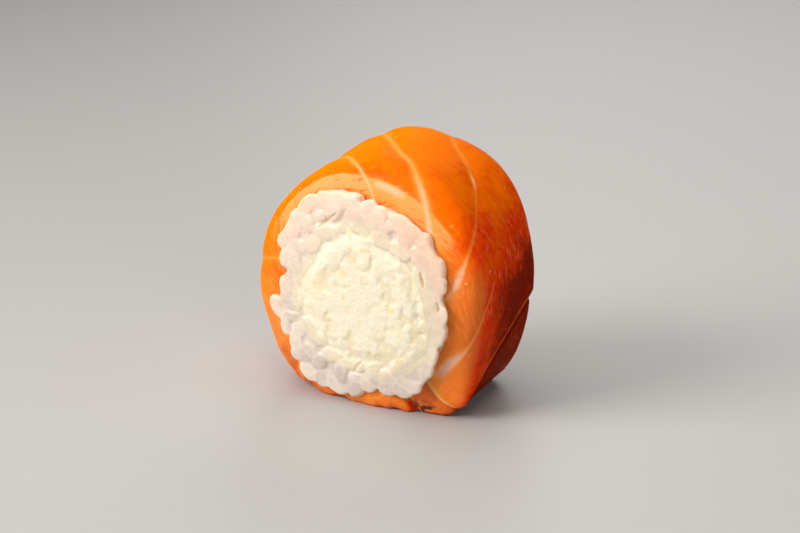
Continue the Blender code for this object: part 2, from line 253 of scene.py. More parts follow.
PIECE_MIDDLE = (0.0, 0.0, 0.022)
soft_light("key", (-0.255, -0.365, 0.250), PIECE_MIDDLE, (0.34, 0.34), 3.3, (1.0, 0.97, 0.94))
soft_light("top", (-0.05, 0.0, 0.50), PIECE_MIDDLE, (0.60, 0.60), 1.9, (1.0, 0.98, 0.95))
soft_light("fill", (0.36, -0.30, 0.20), PIECE_MIDDLE, (0.16, 0.16), 0.6, (1.0, 0.97, 0.94))
soft_light("back", (-0.16, 0.42, 0.24), PIECE_MIDDLE, (0.30, 0.30), 0.7, (1.0, 0.98, 0.95))

world = bpy.data.worlds.new("studio")
world.use_nodes = True
world.node_tree.nodes["Background"].inputs["Color"].default_value = (0.92, 0.94, 1.0, 1.0)
world.node_tree.nodes["Background"].inputs["Strength"].default_value = 0.03
bpy.context.scene.world = world
bpy.context.scene.view_settings.view_transform = "Standard"

# %% [markdown]
# ## From a tube to a slice
#
# A slice of fish is thin, long and closed all round. It could be a flat grid with a Solidify
# modifier, but then both faces would be equally fine, and the inner one is hidden. A tube does
# better: its rings become the cross-sections of the slice. Most of a ring's points go to the outside
# and the two rounded rims, and only a few to the inside. create_cone makes the tube with both ends
# capped, subdivide_edges cuts it along its length, and then each point moves to its place on the roll.

# %% A tube with counted rows and columns
SLICE_INSIDE_ROWS = 8


def slice_tube(columns, outside_rows):
    """A capped tube, and for each of its points the column and the row.

    Rows 0 to outside_rows run over the outside from the front rim to the back rim, and the other
    rows run back to the front over the inside.
    """
    rows = outside_rows + SLICE_INSIDE_ROWS
    bm = bmesh.new()
    bmesh.ops.create_cone(bm, cap_ends=True, segments=rows, radius1=1, radius2=1, depth=columns)
    lengthwise = [edge for edge in bm.edges if abs(edge.verts[0].co.z - edge.verts[1].co.z) > columns / 2]
    bmesh.ops.subdivide_edges(bm, edges=lengthwise, cuts=columns - 1, use_grid_fill=True)
    places = np.array([vert.co for vert in bm.verts])
    column = np.rint(places[:, 2] + columns / 2)
    row = np.rint(np.arctan2(places[:, 1], places[:, 0]) / (2 * np.pi) * rows) % rows
    return bm, column, row


def finished(name, bm, places, fields, material):
    """Moves the points of a bmesh to their places and makes an object with one attribute per field."""
    for vert, place in zip(bm.verts, places):
        vert.co = place
    bmesh.ops.recalc_face_normals(bm, faces=bm.faces)
    if bm.calc_volume(signed=True) < 0:
        bmesh.ops.reverse_faces(bm, faces=bm.faces)
    mesh = bpy.data.meshes.new(name)
    bm.to_mesh(mesh)
    bm.free()
    mesh.shade_smooth()
    add_fields(mesh, fields)
    mesh.materials.append(material)
    print(name, "has", len(mesh.vertices), "points and", len(mesh.polygons), "faces")
    return link(bpy.data.objects.new(name, mesh))


def add_fields(mesh, fields):
    """Stores numbers, or vectors, that the materials read at each point."""
    for name, values in fields.items():
        values = np.asarray(values, dtype=np.float32)
        kind, key = ("FLOAT", "value") if values.ndim == 1 else ("FLOAT_VECTOR", "vector")
        mesh.attributes.new(name, kind, "POINT").data.foreach_set(key, values.ravel())


test_tube, test_column, test_row = slice_tube(4, 12)
print("a small tube has columns 0 to", int(test_column.max()), "and rows 0 to", int(test_row.max()))
test_tube.free()

# %% [markdown]
# ## The salmon's rims and ends
#
# Across the slice a path runs over the outside from the front rim to the back rim. Near a rim the
# cut face bends over into the outside as a quarter of an ellipse, and that bend catches the light.
# At the foot the slice is squeezed, so the bend is short there.

# %% Paths over a slice
RIM_WANDER = 0.0004
FRONT_RIM_WAVES = ((3, 1.0, 347),)
BACK_RIM_WAVES = ((2, 1.0, 0), (5, 1.0, 346))
CORNER_RETREAT = 0.0011
CORNER_RISE, CORNER_FALL = (100.0, 134.0), (150.0, 175.0)
LIP_DEPTH, LIP_DEPTH_AT_FOOT = 0.0056, 0.0012
FOOT_SPREAD = (0.3, 0.9)
LIP_ARC = 0.0083  # length of the bend from rim to outside
CREASE_TURN = math.radians(35)  # the flat cut face ends here, and the bend to the outside starts
CREASE_FADE_LOW, CREASE_FADE_HIGH = (-75.0, -50.0), (48.0, 70.0)
SURFACE_WIDTH = SALMON_WIDTH - 2 * LIP_DEPTH + 2 * LIP_ARC


def low_on_the_right(angle):
    return hill(angle % 360, CORNER_RISE, CORNER_FALL)


def at_foot(angle):
    return smooth_step(-np.cos(np.radians(angle)), *FOOT_SPREAD)


def rims(angle, recess=0.0):
    """Where a slice's front and back rims are along Y at a clock angle."""
    front = -SALMON_WIDTH / 2 + CORNER_RETREAT * low_on_the_right(angle)
    front = front + RIM_WANDER * waves_at(angle, FRONT_RIM_WAVES)
    back = SALMON_WIDTH / 2 + RIM_WANDER * waves_at(angle, BACK_RIM_WAVES)
    return front + recess, back - recess


def creased(angle):
    """1 over the top, where the knife's cut and the outside meet in a crease."""
    return hill(half_turns(angle), CREASE_FADE_LOW, CREASE_FADE_HIGH)


def over_outside(t, angle, recess=0.0):
    """The path over the outside, for t from 0 at the front rim to 1 at the back rim.

    Gives the place along Y, the share of the full thickness, and the length walked from the middle.
    """
    front, back = rims(angle, recess)
    lip = LIP_DEPTH + (LIP_DEPTH_AT_FOOT - LIP_DEPTH) * at_foot(angle)
    walked = (t - 0.5) * SURFACE_WIDTH
    from_rim = SURFACE_WIDTH / 2 - np.abs(walked)
    turn = np.radians(90) * np.clip(from_rim / LIP_ARC, 0, 1)
    past_lip = np.clip((from_rim - LIP_ARC) / (SURFACE_WIDTH / 2 - LIP_ARC), 0, 1)
    half = (back - front) / 2
    inward = lip * (1 - np.cos(turn)) + past_lip * (half - lip)
    cut_face = lip * (1 - math.cos(CREASE_TURN)) * np.sin(turn) / math.sin(CREASE_TURN)
    inward = np.where(turn < CREASE_TURN, inward + creased(angle) * (cut_face - inward), inward)
    y = (front + back) / 2 + np.sign(walked) * (half - inward)
    return y, np.sin(turn), walked


def behind_front(walked):
    """The way from the front rim over the surface, for a length walked from the middle."""
    return walked + SURFACE_WIDTH / 2


print("surface from rim to rim in mm:", round(1000 * SURFACE_WIDTH, 1))

# %% [markdown]
# The ends are slanted: the right end has a corner at the front that stands off the roll, and behind
# it the edge runs back up the side. Each end lies on the short slice, which takes part of the
# thickness there, set back a little from both rims.

# %% Ends of a slice
SLICE_START, SLICE_END = 157.0, 497.0  # clock angles of the ends' front corners
SLANT_BLEND = 150.0  # degrees over which the slant of an end fades out
START_SLANT, END_SLANT = 900.0, 1650.0  # degrees to a metre along Y
END_TIP_Y, END_CORNER = -0.0110, 2000.0
FLAP_LIFT, FLAP_REACH, FLAP_LENGTH = 0.0011, 20.0, 0.0085
LAP, LAP_SETBACK, LAP_SHARE = 15.0, 0.0032, 0.48
END_REACH, END_THINNING = 4.0, 0.92


def end_edge(y):
    return -END_SLANT * np.maximum(0.0, y - END_TIP_Y) - END_CORNER * np.maximum(0.0, END_TIP_Y - y)


def start_edge(y):
    return -START_SLANT * (y + SALMON_WIDTH / 2)


def slanted(angle, y):
    """Turns an angle along the slice into one that follows the slant of the nearer end."""
    to_end = smooth_step(angle, SLICE_END - SLANT_BLEND, SLICE_END - LAP)
    to_start = 1 - smooth_step(angle, SLICE_START + LAP, SLICE_START + SLANT_BLEND)
    return angle + to_end * end_edge(y) + to_start * start_edge(y)


def end_swell(angle):
    """Under 1 in the last few degrees of the slice, which makes its cut ends round."""
    near = np.clip(np.minimum(angle - SLICE_START, SLICE_END - angle) / END_REACH, 0, 1)
    return 1 - END_THINNING * (1 - np.sqrt(1 - (1 - near) ** 2))


def lap_share(angle):
    """The share of the thickness that the short slice takes under each end of the main slice."""
    from_start = 1 - smooth_step(angle, SLICE_START, SLICE_START + LAP)
    from_end = smooth_step(angle, SLICE_END - LAP, SLICE_END)
    return LAP_SHARE * np.maximum(from_start, from_end)


def behind_rims(angle, y):
    front, back = rims(angle)
    return smooth_step(np.minimum(y - front, back - y), LAP_SETBACK / 5, LAP_SETBACK)


def flap_lift(angle, y):
    """How far the right end stands off the roll, most at its front corner."""
    along = smooth_step(angle, SLICE_END - FLAP_REACH, SLICE_END)
    return FLAP_LIFT * along * (1 - smooth_step(y, END_TIP_Y, END_TIP_Y + FLAP_LENGTH))


print("the main slice runs", SLICE_END - SLICE_START, "degrees round the roll")

# %% [markdown]
# ## Fat lines
#
# Salmon muscle is made of blocks, with thin sheets of white fat between them. Cut across, the sheets
# show as pale lines that run over the slice at a slant and hook towards the rim. Each line here is a
# rule: its width, how strongly it shows, and the few places that it passes, with soft bends between
# them. The muscle sinks a little beside each line, and the line itself stands up in that groove.

# %% The rule of the fat lines
# Each line is a few places that it passes: millimetres behind the front rim (measured over the
# surface), clock angle, strength from 0 to 1, and width in millimetres.
FAT_LINES = (
    ((0, 15, 0.7, 0.3), (3, 2, 0.7, 0.3), (5, -8, 0.5, 0.4), (11, -23, 0.3, 0.5), (30, -72, 0.4, 0.4)),
    ((0, 57, 0.6, 0.4), (2, 47, 0.85, 0.55), (4, 32, 0.7, 0.6), (6.5, 21, 0.5, 0.55),
     (12.5, 2, 0.42, 0.5), (22, -19, 0.35, 0.5), (30, -38, 0.5, 0.4)),
    # the third and fourth lines are strongest 2 to 3 mm behind the rim, where their pale patches are partly
    # fat and partly painted highlights
    ((0, 88, 0.4, 0.25), (1.9, 80, 0.8, 0.45), (2.5, 73.5, 1.0, 0.5), (3.0, 68.5, 0.9, 0.4),
     (4.2, 63, 0.45, 0.3), (8, 53, 0.25, 0.25), (12.9, 45, 0.3, 0.3), (14.8, 39.5, 0.8, 0.35),
     (16, 36, 0.35, 0.35), (19, 26, 0.35, 0.5), (23, 17, 0.3, 0.6), (30, 2, 0.5, 0.5)),
    ((0, 134, 0.2, 0.3), (1.8, 128, 0.7, 0.5), (2.6, 123.4, 1.0, 0.65), (3.2, 115, 1.0, 0.5),
     (4.35, 107, 0.6, 0.3), (6.3, 96, 0.4, 0.22), (8.3, 81.5, 0.35, 0.2), (11, 73, 0.0, 0.2),
     (30, 28, 0.0, 0.3)),
    ((0, 205, 0.6, 0.4), (10, 178, 0.5, 0.4), (20, 158, 0.5, 0.4), (30, 140, 0.6, 0.4)),
    ((0, 240, 0.5, 0.4), (4, 224, 0.6, 0.4), (15, 200, 0.5, 0.4), (30, 170, 0.6, 0.4)),
    ((0, 287, 0.4, 0.35), (4, 278, 0.35, 0.3), (9, 273, 0.3, 0.3), (18, 260, 0.4, 0.4),
     (30, 235, 0.6, 0.4)),
    ((12, 308, 0.0, 0.3), (15, 300, 0.4, 0.4), (30, 268, 0.6, 0.4)),
)
FAT_SMOOTHING = 0.0012
FAT_WOBBLE = 0.00040, 240.0  # how far a line strays, and bends to a metre
FAT_WIDENS = 0.4, 420.0  # share of its width that it gains or loses, and how often to a metre
FAT_HALO, HALO_SHARE = 2.4, 0.35  # the glow beside a line is this much wider, and this strong
GROOVE_DEPTH, GROOVE_WIDTH = 0.00032, 0.0015
RIDGE_HEIGHT = 0.00010


def arc_between(angle, other):
    """The way round the wrap from one clock angle to another, in metres, with its sign."""
    return np.radians(half_turns(angle - other)) * WRAP_RADIUS


def line_at(from_rim, points):
    """The clock angle, strength and width in metres of a line at a way behind the rim."""
    back, angle, strength, width = np.array(points, dtype=float).T
    behind = 1000 * from_rim
    steps = np.linspace(-1, 1, 5) * 1000 * FAT_SMOOTHING
    crossing = sum(np.interp(behind + step, back, angle) for step in steps) / len(steps)
    return crossing, np.interp(behind, back, strength), np.interp(behind, back, width) / 1000


def fat_lines_at(angle, walked):
    """How much of each place is fat, and how deep the surface sinks there."""
    from_rim = behind_front(walked)
    fat, sunk = np.zeros_like(angle), np.zeros_like(angle)
    for number, points in enumerate(FAT_LINES):
        crossing, strength, width = line_at(from_rim, points)
        slope = arc_between(line_at(from_rim + FAT_SMOOTHING, points)[0], crossing) / FAT_SMOOTHING
        path = np.stack([from_rim, 0 * from_rim + 0.01 * number, 0 * from_rim], axis=-1)
        wobble = unevenness(path, FAT_WOBBLE, seed=number)
        away = (arc_between(angle, crossing) + wobble) / np.sqrt(1 + slope**2)
        wide = width * (1 + unevenness(path, FAT_WIDENS, seed=number + 20))
        line = (1 - HALO_SHARE) * bell(away, wide) + HALO_SHARE * bell(away / wide, FAT_HALO)
        line = line * np.minimum(1, strength * 4) * (strength > 0)
        fat = np.maximum(fat, strength * line)
        shown = np.minimum(1, 3 * strength)
        sunk = sunk + shown * (GROOVE_DEPTH * bell(away, GROOVE_WIDTH) - RIDGE_HEIGHT * line)
    return fat, sunk


print(len(FAT_LINES), "fat lines")

# %% [markdown]
# ## Muscle fibres
#
# Fine fibres run across the blocks, nearly along the wrap, and at the right end they bend into arcs
# beside the cut edge. The material draws them from a pair of coordinates stored at each point: one
# along the fibres and one across. Noise that is stretched along the first looks like strands.

# %% Coordinates along and across the fibres
FIBRE_LEAN = math.radians(14)
FIBRE_MEANDER = 0.0011, 110.0
ARCS_FROM, ARCS_FULL = 30.0, 6.0  # degrees before the right end


def way_to_end(along):
    """The way round the wrap to the slice's right end, in metres."""
    return np.radians(SLICE_END - along) * WRAP_RADIUS


def fibre_coordinates(places, angle, walked, along):
    """Metres along and across the fibres, for the material's streaks."""
    round_wrap = np.radians(angle) * WRAP_RADIUS
    lengthwise = round_wrap * math.cos(FIBRE_LEAN) + walked * math.sin(FIBRE_LEAN)
    crosswise = walked * math.cos(FIBRE_LEAN) - round_wrap * math.sin(FIBRE_LEAN)
    crosswise = crosswise + unevenness(places, FIBRE_MEANDER, seed=3.0)
    to_end = way_to_end(along)
    at_end = smooth_step(along, SLICE_END - ARCS_FROM, SLICE_END - ARCS_FULL)
    return np.stack([
        lengthwise * (1 - at_end) + walked * at_end,
        crosswise * (1 - at_end) + to_end * at_end,
        0 * angle,
    ], axis=-1)


print("fibres lean", round(math.degrees(FIBRE_LEAN)), "degrees off the way round the wrap")

# %% [markdown]
# ## Materials: what they share
#
# Salmon, rice and cheese are all wet and let light in. Each material keeps its own shader, with the
# numbers that are the same all over set on its sockets. The rest is worked out by nodes: these
# helpers place one each, and link it or give it a plain number.

# %% Node helpers


def place_node(tree, kind, **settings):
    node = tree.nodes.new(kind)
    for key, value in settings.items():
        setattr(node, key, value)
    return node


def feed(tree, socket, value):
    """Links a socket to an output, or sets it to a plain value."""
    if isinstance(value, bpy.types.NodeSocket):
        tree.links.new(value, socket)
    else:
        socket.default_value = value


def calculate(tree, operation, first, second, clamp=False):
    node = place_node(tree, "ShaderNodeMath", operation=operation, use_clamp=clamp)
    feed(tree, node.inputs[0], first)
    feed(tree, node.inputs[1], second)
    return node.outputs[0]


def total(tree, first, *others):
    for other in others:
        first = calculate(tree, "ADD", first, other)
    return first


def product(tree, first, *others):
    for other in others:
        first = calculate(tree, "MULTIPLY", first, other)
    return first


def layered(tree, ground, layers):
    """Lays colours over a first one, in turn, each as strongly as its mask says."""
    colour = (*ground, 1)
    for mask, over in layers:
        node = place_node(tree, "ShaderNodeMix", data_type="RGBA")
        feed(tree, node.inputs["Factor"], mask)
        feed(tree, node.inputs["A"], colour)
        feed(tree, node.inputs["B"], (*over, 1))
        colour = node.outputs["Result"]
    return colour


def noise_node(tree, vector, scale, detail=2.0, roughness=0.5, distortion=0.0):
    node = place_node(tree, "ShaderNodeTexNoise")
    given = {"Vector": vector, "Scale": scale, "Detail": detail, "Roughness": roughness,
             "Distortion": distortion}
    for name, value in given.items():
        feed(tree, node.inputs[name], value)
    return node.outputs["Fac"]


def stretched(tree, vector, share):
    """A vector with its first coordinate shrunk, which draws noise out along that coordinate."""
    node = place_node(tree, "ShaderNodeMapping")
    feed(tree, node.inputs["Vector"], vector)
    node.inputs["Scale"].default_value = (share, 1.0, 1.0)
    return node.outputs["Vector"]


def between(tree, value, low, high, to_low=0.0, to_high=1.0):
    """Maps a value from one range to another, smoothly at both ends."""
    node = place_node(tree, "ShaderNodeMapRange", interpolation_type="SMOOTHSTEP")
    given = {"Value": value, "From Min": low, "From Max": high, "To Min": to_low, "To Max": to_high}
    for name, number in given.items():
        feed(tree, node.inputs[name], number)
    return node.outputs["Result"]


def attribute(tree, name, output="Fac"):
    return place_node(tree, "ShaderNodeAttribute", attribute_name=name).outputs[output]


def object_coordinates(tree):
    return place_node(tree, "ShaderNodeTexCoord").outputs["Object"]


def bump(tree, height, distance):
    node = place_node(tree, "ShaderNodeBump")
    feed(tree, node.inputs["Height"], height)
    node.inputs["Distance"].default_value = distance
    return node.outputs["Normal"]


def set_shader(material, **values):
    for name, value in values.items():
        shader_of(material).inputs[name.replace("_", " ")].default_value = value


print("node helpers are ready, and there are", len(bpy.data.materials), "materials so far")

# %% [markdown]
# What more than one material uses is a node group, built once: streaks along the fibres for both
# salmon slices, and a soft mottle for all. A group only puts out masks.

# %% The shared groups


def new_group(name, inputs, outputs):
    """A node group that puts out numbers: its tree, its inputs and its outputs."""
    tree = bpy.data.node_groups.new(name, "ShaderNodeTree")
    for label, kind, default in inputs:
        socket = tree.interface.new_socket(name=label, in_out="INPUT", socket_type=kind)
        if default is not None:
            socket.default_value = default
    for label in outputs:
        tree.interface.new_socket(name=label, in_out="OUTPUT", socket_type="NodeSocketFloat")
    return tree, tree.nodes.new("NodeGroupInput").outputs, tree.nodes.new("NodeGroupOutput").inputs


def use_group(tree, group, **inputs):
    node = place_node(tree, "ShaderNodeGroup", node_tree=group)
    for name, value in inputs.items():
        feed(tree, node.inputs[name], value)
    return node.outputs


def make_fibre_group():
    """Streaks along the first coordinate of a vector: coarse bundles, fine strands, short strokes."""
    inputs = [("Vector", "NodeSocketVector", None), ("Strands", "NodeSocketFloat", 2600.0)]
    tree, given, result = new_group("fibre streaks", inputs, ["Bundles", "Fine", "Strokes"])
    for label, share, scale, roughness, distortion in (
        ("Bundles", 0.10, 900.0, 0.55, 0.0),
        ("Fine", 0.07, given["Strands"], 0.6, 0.0),
        ("Strokes", 0.11, 2900.0, 0.55, 0.25),
    ):
        streaks = stretched(tree, given["Vector"], share)
        feed(tree, result[label], noise_node(tree, streaks, scale, 3.0, roughness, distortion))
    return tree


def make_mottle_group():
    """Soft patches and five times finer specks, from Object coordinates."""
    tree, given, result = new_group(
        "mottle", [("Scale", "NodeSocketFloat", 200.0)], ["Patches", "Specks"]
    )
    places = object_coordinates(tree)
    feed(tree, result["Patches"], noise_node(tree, places, given["Scale"], 3.0))
    feed(tree, result["Specks"], noise_node(tree, places, product(tree, given["Scale"], 5.0)))
    return tree


FIBRE_STREAKS = make_fibre_group()
MOTTLE = make_mottle_group()
print("groups:", FIBRE_STREAKS.name, "and", MOTTLE.name)

# %% [markdown]
# ## Salmon flesh
#
# Raw salmon is translucent: light goes in, spreads, and comes out redder. Subsurface scattering does
# that, with a far wider reach for red than for blue. On top of it come the fibres, as small changes
# of colour and as bump, the pale fat lines, and a wet film that is thickest low down at the rim.
# Some colour is painted light: the deeper red round the right side is partly painted shade, and
# there are painted glints, and painted highlights on the cut, the crescent and the fat patches.

# %% The salmon material
FIBRE_COLOUR, PAINTED_GLINT_COLOUR = (1.0, 0.34, 0.03), (0.95, 0.17, 0.07)
FAT_EDGE_AND_SHEEN_COLOUR, FLECK_AND_GLINT_COLOUR, SKIN_COLOUR = (1.0, 0.33, 0.055), (1.0, 0.50, 0.24), (0.11, 0.035, 0.025)
FLESH_PATCHES = 170.0
FLESH_BUMP = 0.00016


def salmon_material(name, bright, deep, deepest, low_colour, cut_and_sheen_colour, fat_and_highlight_colour):
    material = new_material(name)
    tree = material.node_tree
    shader = shader_of(material)
    along_fibres = attribute(tree, "fibre", "Vector")
    bundles, fine, strokes = use_group(tree, FIBRE_STREAKS, Vector=along_fibres)
    patches, specks = use_group(tree, MOTTLE, Scale=FLESH_PATCHES)
    fat, cut, wet = [attribute(tree, mark) for mark in ("fat", "cut", "wet")]

    # masks: how deep the red is, partly painted shade, low on both sides, painted glints in the deep red,
    # strokes on the cut, fat with painted highlights
    depth = total(
        tree,
        between(tree, patches, 0.3, 0.7, -0.14, 0.14),
        between(tree, bundles, 0.35, 0.65, 0.03, -0.03),
        between(tree, specks, 0.3, 0.7, -0.07, 0.07),
        attribute(tree, "depth"),
    )
    low = between(tree, wet, 0.1, 0.35)
    blotches = noise_node(tree, stretched(tree, along_fibres, 0.30), 1500.0, 3.0, 0.6)
    painted_glints = product(tree, between(tree, blotches, 0.50, 0.66, 0.0, 0.7), between(tree, depth, 0.2, 0.5))
    nearer_crease = total(tree, strokes, between(tree, cut, 0.5, 1.0, -0.07, 0.12))
    cut_strokes = between(tree, nearer_crease, 0.38, 0.62)
    # thick fat here also takes the painted highlights that the fat mark carries, and the fat's edges their
    # painted sheen
    thick_fat_and_highlight = product(tree, between(tree, fat, 0.35, 1.0), between(tree, fine, 0.25, 0.55, 0.6, 1.0))
    feed(tree, shader.inputs["Base Color"], layered(tree, bright, [
        (between(tree, depth, 0.0, 0.5), deep),
        (between(tree, fine, 0.50, 0.72, 0.0, 0.10), FIBRE_COLOUR),
        (product(tree, low, 0.8), low_colour),
        (painted_glints, PAINTED_GLINT_COLOUR),
        (between(tree, depth, 0.5, 1.1, 0.0, 0.9), deepest),
        (product(tree, low, between(tree, strokes, 0.40, 0.70, 0.0, 0.30)), cut_and_sheen_colour),
        (product(tree, cut, between(tree, cut_strokes, 0.0, 1.0, 0.15, 0.80)), cut_and_sheen_colour),
        (between(tree, fat, 0.02, 0.6, 0.0, 0.85), FAT_EDGE_AND_SHEEN_COLOUR),
        (thick_fat_and_highlight, fat_and_highlight_colour),
        # flecks, partly fat and partly painted glints
        (between(tree, specks, 0.71, 0.76, 0.0, 0.4), FLECK_AND_GLINT_COLOUR),
        (attribute(tree, "skin"), SKIN_COLOUR),
    ]))
    feed(tree, shader.inputs["Roughness"], between(tree, bundles, 0.3, 0.7, 0.16, 0.32))

    # a wet film: on the cut, on thick fat, where it is stored as wet, and as small droplets
    beads = noise_node(tree, object_coordinates(tree), 2600.0, 1.0)
    droplets = product(tree, between(tree, beads, 0.58, 0.70), between(tree, patches, 0.48, 0.62))
    film = product(tree, cut, between(tree, cut_strokes, 0.0, 1.0, 0.03, 0.16))
    for other in (product(tree, thick_fat_and_highlight, 0.2), wet):
        film = calculate(tree, "MAXIMUM", film, other)
    film = calculate(tree, "ADD", film, product(tree, droplets, 0.3), clamp=True)
    feed(tree, shader.inputs["Coat Weight"], film)

    heights = ((bundles, 0.6), (fine, 0.2), (droplets, 0.9), (specks, 0.4))
    height = total(tree, product(tree, cut, 0.8, strokes), *(product(tree, *pair) for pair in heights))
    feed(tree, shader.inputs["Normal"], bump(tree, height, FLESH_BUMP))
    set_shader(material, Subsurface_Weight=0.75, Subsurface_Scale=0.0030,
               Subsurface_Radius=(1.0, 0.30, 0.10), Specular_IOR_Level=0.0,
               Coat_Roughness=0.08, Coat_IOR=1.4)
    return material


# the flesh goes from bright to deep to deepest round the right side: partly its own colour, partly painted
# shade
SALMON = salmon_material(
    "salmon_flesh",
    bright=(0.98, 0.152, 0.001), deep=(0.84, 0.038, 0.0005), deepest=(0.17, 0.006, 0.0003),
    low_colour=(0.80, 0.200, 0.016), cut_and_sheen_colour=(1.0, 0.38, 0.11), fat_and_highlight_colour=(1.0, 0.53, 0.38),
)
# darker colours for the short slice: painted shade of its deeper place
SALMON_SHADED = salmon_material(
    "salmon_underneath",
    bright=(0.62, 0.10, 0.006), deep=(0.50, 0.040, 0.001), deepest=(0.20, 0.008, 0.0004),
    low_colour=(0.86, 0.185, 0.014), cut_and_sheen_colour=(0.85, 0.28, 0.08), fat_and_highlight_colour=(0.9, 0.45, 0.30),
)
print("materials:", SALMON.name, SALMON_SHADED.name)

# %% [markdown]
# ## The main slice
#
# Now the tube becomes the slice. Its columns run from the left end, under the foot, over the top and
# down the right side, and lie closer together near both ends. The inner edge of each rim reaches a
# little under the rice, because the grains bulge over it and no gap shows between them.

# %% Inside, outside and relief of a slice
MAIN_COLUMNS, MAIN_ROWS = (600, 128) if FINE else (240, 56)
RIM_REACH_IN = 0.0026  # the rim's inner edge reaches this far under the grains
RIM_REACH_DEPTH = 0.0022
SURFACE_UNEVEN = 0.00022, 130.0  # height of the swells, and how many to a metre
BUNDLE_UNEVEN, BUNDLES_ACROSS = (0.00005, 420.0), (1.0, 4.0, 1.0)
TRIM_FROM, TRIM_TO = (196.0, 226.0), (238.0, 266.0)  # clock angles
TRIM_SHARE, TRIM_DEPTH = 0.40, 0.0042
SCALLOPS_FROM, SCALLOPS_TO = (150.0, 166.0), (232.0, 262.0)
SCALLOP_SHARE, SCALLOP_LEAST, SCALLOP_COUNT = 0.22, 0.3, 420.0


def wrap_inside(angle, y):
    front, back = rims(angle)
    near_rim = 1 - smooth_step(np.minimum(y - front, back - y), 0, RIM_REACH_DEPTH)
    radius = RICE_RADIUS * wavy(angle, RICE_WAVES) + FIT_GAP - RIM_REACH_IN * near_rim
    return on_section(angle, y, radius, RICE_SHIFT, SALMON_UNDER_RICE)


def wrap_outside(angle, y, relief=0.0):
    return on_section(angle, y, WRAP_RADIUS * wavy(angle, WRAP_WAVES) + relief)


def denser_at_ends(share):
    return share - 0.5 * np.sin(2 * np.pi * share) / (2 * np.pi)


def rows_to_paths(row, outside_rows, angle, recess):
    """For each row the place along Y, share of the thickness, length walked, and 1 on the outside."""
    outside = row <= outside_rows
    t_outside = row / outside_rows
    t_inside = 1 - (row - outside_rows) / SLICE_INSIDE_ROWS
    y, share, walked = over_outside(np.where(outside, t_outside, 0.5), angle, recess)
    front, back = rims(angle, recess)
    y = np.where(outside, y, front + (back - front) * t_inside)
    return y, np.where(outside, share, 0.0), walked, outside


def surface_relief(places, angle, walked):
    """Swells and dips of the outside in metres, and how much of each place is fat."""
    fat, sunk = fat_lines_at(angle, walked)
    relief = unevenness(places, SURFACE_UNEVEN, seed=5.0) - sunk
    relief = relief + unevenness(places * BUNDLES_ACROSS, BUNDLE_UNEVEN, seed=8.0)
    return relief, fat


def front_trim(angle, y):
    """How much of the thickness is missing at the front rim, low on the left, where it is ragged."""
    round_wrap = np.radians(angle) * WRAP_RADIUS
    lobes = noise_at(np.stack([0 * angle, 0 * angle, round_wrap], axis=-1), SCALLOP_COUNT, seed=9.0)
    scalloped = hill(angle % 360, SCALLOPS_FROM, SCALLOPS_TO) * np.clip(SCALLOP_LEAST + lobes, 0, 1)
    trimmed = hill(angle % 360, TRIM_FROM, TRIM_TO)
    near_rim = 1 - smooth_step(y - rims(angle)[0], 0.0, TRIM_DEPTH)
    return near_rim * (TRIM_SHARE * trimmed + SCALLOP_SHARE * scalloped)


print("rows round the main slice:", MAIN_ROWS + SLICE_INSIDE_ROWS, "and columns along it:", MAIN_COLUMNS)

# %% [markdown]
# The material has to know what it is on. So each point also stores marks, which are plain numbers:
# how far it lies on the pale knife's cut, which is partly a painted highlight, how deep its red is,
# which is partly painted shade, how wet it is, and how much it belongs to a pale crescent inside the
# crease, which is a painted highlight, and to a pale line along the slice's cut right end, which is a
# painted glow. These two go into the fat mark.

# %% Marks for the salmon material
# the pale cut is partly a painted highlight: dullest beside the rice, brightest towards the crease
CUT_EDGE, CUT_SOFTNESS = math.sin(CREASE_TURN) + 0.04, 0.03  # share of the thickness, at the crease
CUT_DULLEST, CUT_BRIGHTENS = 0.45, (0.08, 0.42)
SOFT_CUT, SOFT_CUT_FADES = 0.5, (0.2, 0.8)  # where the cut has no crease
# the pale crescent is a painted highlight
CRESCENT_STRENGTH, CRESCENT_EDGE = 0.74, 0.04
CRESCENT_ROUND, CRESCENT_RISES = ((0.0, 10.0), (20.0, 34.0)), (0.28, 0.52)
# the red deepens round the right side and towards the back: partly the flesh's own colour, partly painted
# shade
DEEP_ROUND, DEEPEST_ROUND = ((20.0, 90.0), (190.0, 260.0)), (45.0, 90.0)  # clock angles
DEEP_BACK, DEEPEST_BACK = (0.001, 0.008), (0.006, 0.018)  # metres behind the front rim
WET_ROUND, WET_BACK = ((50.0, 85.0), (240.0, 290.0)), (0.004, 0.009)
WET_LEAST, WET_LOW = 0.02, 0.33
# the painted glow along the end: its way from the end, its width and its strength, each at the front corner
# and above it
END_LINE = ((0.0006, 0.0016), (0.00028, 0.00058), (0.62, 0.26))
END_LINE_CHANGES = (-0.0085, -0.0050)  # between these places along Y
TRIM_SKIN, TRIM_SKIN_FROM = 1.3, (0.5, 0.95)


def cut_face_at(angle, share):
    """1 on the knife's cut, which is paler, partly its own colour and partly a painted highlight, with a
    sharp edge where the crease is.
    """
    sharp = 1 - smooth_step(share, CUT_EDGE - CUT_SOFTNESS, CUT_EDGE + CUT_SOFTNESS)
    sharp = sharp * (CUT_DULLEST + (1 - CUT_DULLEST) * smooth_step(share, *CUT_BRIGHTENS))
    soft = SOFT_CUT * (1 - smooth_step(share, *SOFT_CUT_FADES))
    return creased(angle) * sharp + (1 - creased(angle)) * soft


def painted_crescent_highlight(angle, share):
    """A painted highlight: a pale crescent on the cut face, just inside the crease, between the first two
    fat lines.
    """
    across = hill(share, CRESCENT_RISES, (CUT_EDGE - CRESCENT_EDGE, CUT_EDGE))
    return CRESCENT_STRENGTH * hill(half_turns(angle), *CRESCENT_ROUND) * across


